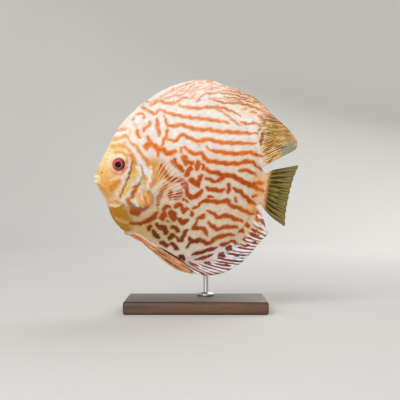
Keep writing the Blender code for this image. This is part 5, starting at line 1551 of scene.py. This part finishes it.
# The stand is a plain walnut block, its edges rounded and oiled, with a turned steel rod
# screwed into it and a short arm that ends in a pad on the fish's right side.
BASE = (112.0, 68.0, 10.0)
BASE_ROUND = 2.0
ROD_AT = (8.0, 16.2)
ROD_RADIUS = 2.0
ROD_FOOT = (7.0, 1.4, 2.6)
ROD_TOP = 102.5
ROD_TOP_BEVEL = 0.5
GAP = 0.3
ARM_HEIGHT = 98.0
ARM_RADIUS = 1.7
ARM_PAD_RADIUS = 4.2
ARM_PAD_THICK = 1.4
ARM_PAD_CONE = 0.4
ARM_SUNK = 1.2

bpy.ops.object.select_all(action="DESELECT")
bpy.ops.mesh.primitive_cube_add(size=1)
block = bpy.context.object
block.name = block.data.name = "base_block"
for vertex in block.data.vertices:
    vertex.co = (vertex.co.x * BASE[0] * MM, vertex.co.y * BASE[1] * MM,
                 (vertex.co.z + 0.5) * BASE[2] * MM)
rounding = block.modifiers.new("rounded_edges", "BEVEL")
rounding.width = BASE_ROUND * MM
rounding.segments = 6
bpy.ops.object.modifier_apply(modifier="rounded_edges")
bpy.ops.object.shade_smooth_by_angle(angle=math.radians(30))
walnut = Finish("walnut", Roughness=0.38, Coat_Weight=0.15, Coat_Roughness=0.25)
along_grain = walnut.place((6.0, 70.0, 90.0))
rings_of_wood = walnut.noise(along_grain, 1.3, 4.0, 0.6)
fibres = walnut.noise(walnut.place((40.0, 900.0, 900.0)), 1.6, 3.0)
brown = walnut.mix(walnut.ramp(rings_of_wood, 0.35, 0.66), (*linear("3a2416"), 1),
                   (*linear("6e4a30"), 1))
brown = walnut.mix(walnut.ramp(fibres, 0.5, 0.75, 0.0, 0.55), brown, (*linear("26160e"), 1))
walnut.feed(walnut.shader.inputs["Base Color"], brown)
walnut.feed(walnut.shader.inputs["Roughness"], walnut.ramp(fibres, 0.3, 0.8, 0.33, 0.5))
walnut.feed(walnut.shader.inputs["Normal"], walnut.bump(fibres, 0.12, 0.0004))
walnut.wear(block)
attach(block, "root")
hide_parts("stand_base")


def lathed(name, profile, turns=64):
    """A turned piece, from pairs of radius and height in millimetres."""
    profile = np.array(profile, float)
    around = np.linspace(0, 2 * math.pi, turns + 1)
    points = np.stack([profile[:, :1] * np.cos(around), profile[:, :1] * np.sin(around),
                       np.repeat(profile[:, 1:], turns + 1, axis=1)], -1)
    return moulded(name, points * MM)


def rounded(profile, radius=0.25, steps=4):
    """A profile with its outer corners eased."""
    profile = [np.array(p, float) for p in profile]
    eased_profile = [profile[0]]
    for before, corner, after in zip(profile, profile[1:], profile[2:]):
        back = (before - corner) / np.linalg.norm(before - corner)
        on = (after - corner) / np.linalg.norm(after - corner)
        r = min(radius, np.linalg.norm(before - corner) / 2, np.linalg.norm(after - corner) / 2)
        for t in np.linspace(0, 1, steps):
            eased_profile.append((corner + back * r) * (1 - t) ** 2 + corner * 2 * t * (1 - t)
                                 + (corner + on * r) * t * t)
    return eased_profile + [profile[-1]]


steel = Finish("brushed_steel", Metallic=1.0, Roughness=0.3)
hairlines = steel.noise(steel.place((3000.0, 3000.0, 60.0)), 1.0, 2.0)
steel.feed(steel.shader.inputs["Base Color"],
           steel.mix(hairlines, (*linear("a9aaa8"), 1), (*linear("cfd0ce"), 1)))
steel.feed(steel.shader.inputs["Roughness"], steel.ramp(hairlines, 0.3, 0.7, 0.24, 0.4))
steel.feed(steel.shader.inputs["Normal"], steel.bump(hairlines, 0.06, 0.0002))
foot_low = BASE[2] + GAP
rod = lathed("rod", rounded([(0, ROD_TOP), (ROD_RADIUS, ROD_TOP),
                             (ROD_RADIUS, foot_low + ROD_FOOT[2]),
                             (ROD_FOOT[0], foot_low + ROD_FOOT[1]), (ROD_FOOT[0], BASE[2]),
                             (0, BASE[2])], ROD_TOP_BEVEL))
for vertex in rod.data.vertices:
    vertex.co += Vector((ROD_AT[0] * MM, ROD_AT[1] * MM, 0))
flank_y = on_skin(ROD_AT[0], ARM_HEIGHT - DISC_HEIGHT, 1)[0].y / MM
pad_face = flank_y + ARM_PAD_THICK
arm = lathed("arm", rounded([(0, ROD_AT[1]), (ARM_RADIUS, ROD_AT[1]),
                             (ARM_RADIUS, pad_face + ARM_PAD_CONE), (ARM_PAD_RADIUS, pad_face),
                             (ARM_PAD_RADIUS, flank_y - ARM_SUNK), (0, flank_y - ARM_SUNK)], 0.3))
for vertex in arm.data.vertices:
    x, y, z = vertex.co
    vertex.co = (ROD_AT[0] * MM + x, z, ARM_HEIGHT * MM - y)
for piece, node in ((rod, "stand_rod"), (arm, "stand_arm")):
    bpy.ops.object.select_all(action="DESELECT")
    piece.select_set(True)
    bpy.context.view_layer.objects.active = piece
    bpy.ops.object.shade_smooth_by_angle(angle=math.radians(40))
    steel.wear(piece)
    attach(piece, "root")
    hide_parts(node)

# The size of the dressed model
low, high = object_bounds()
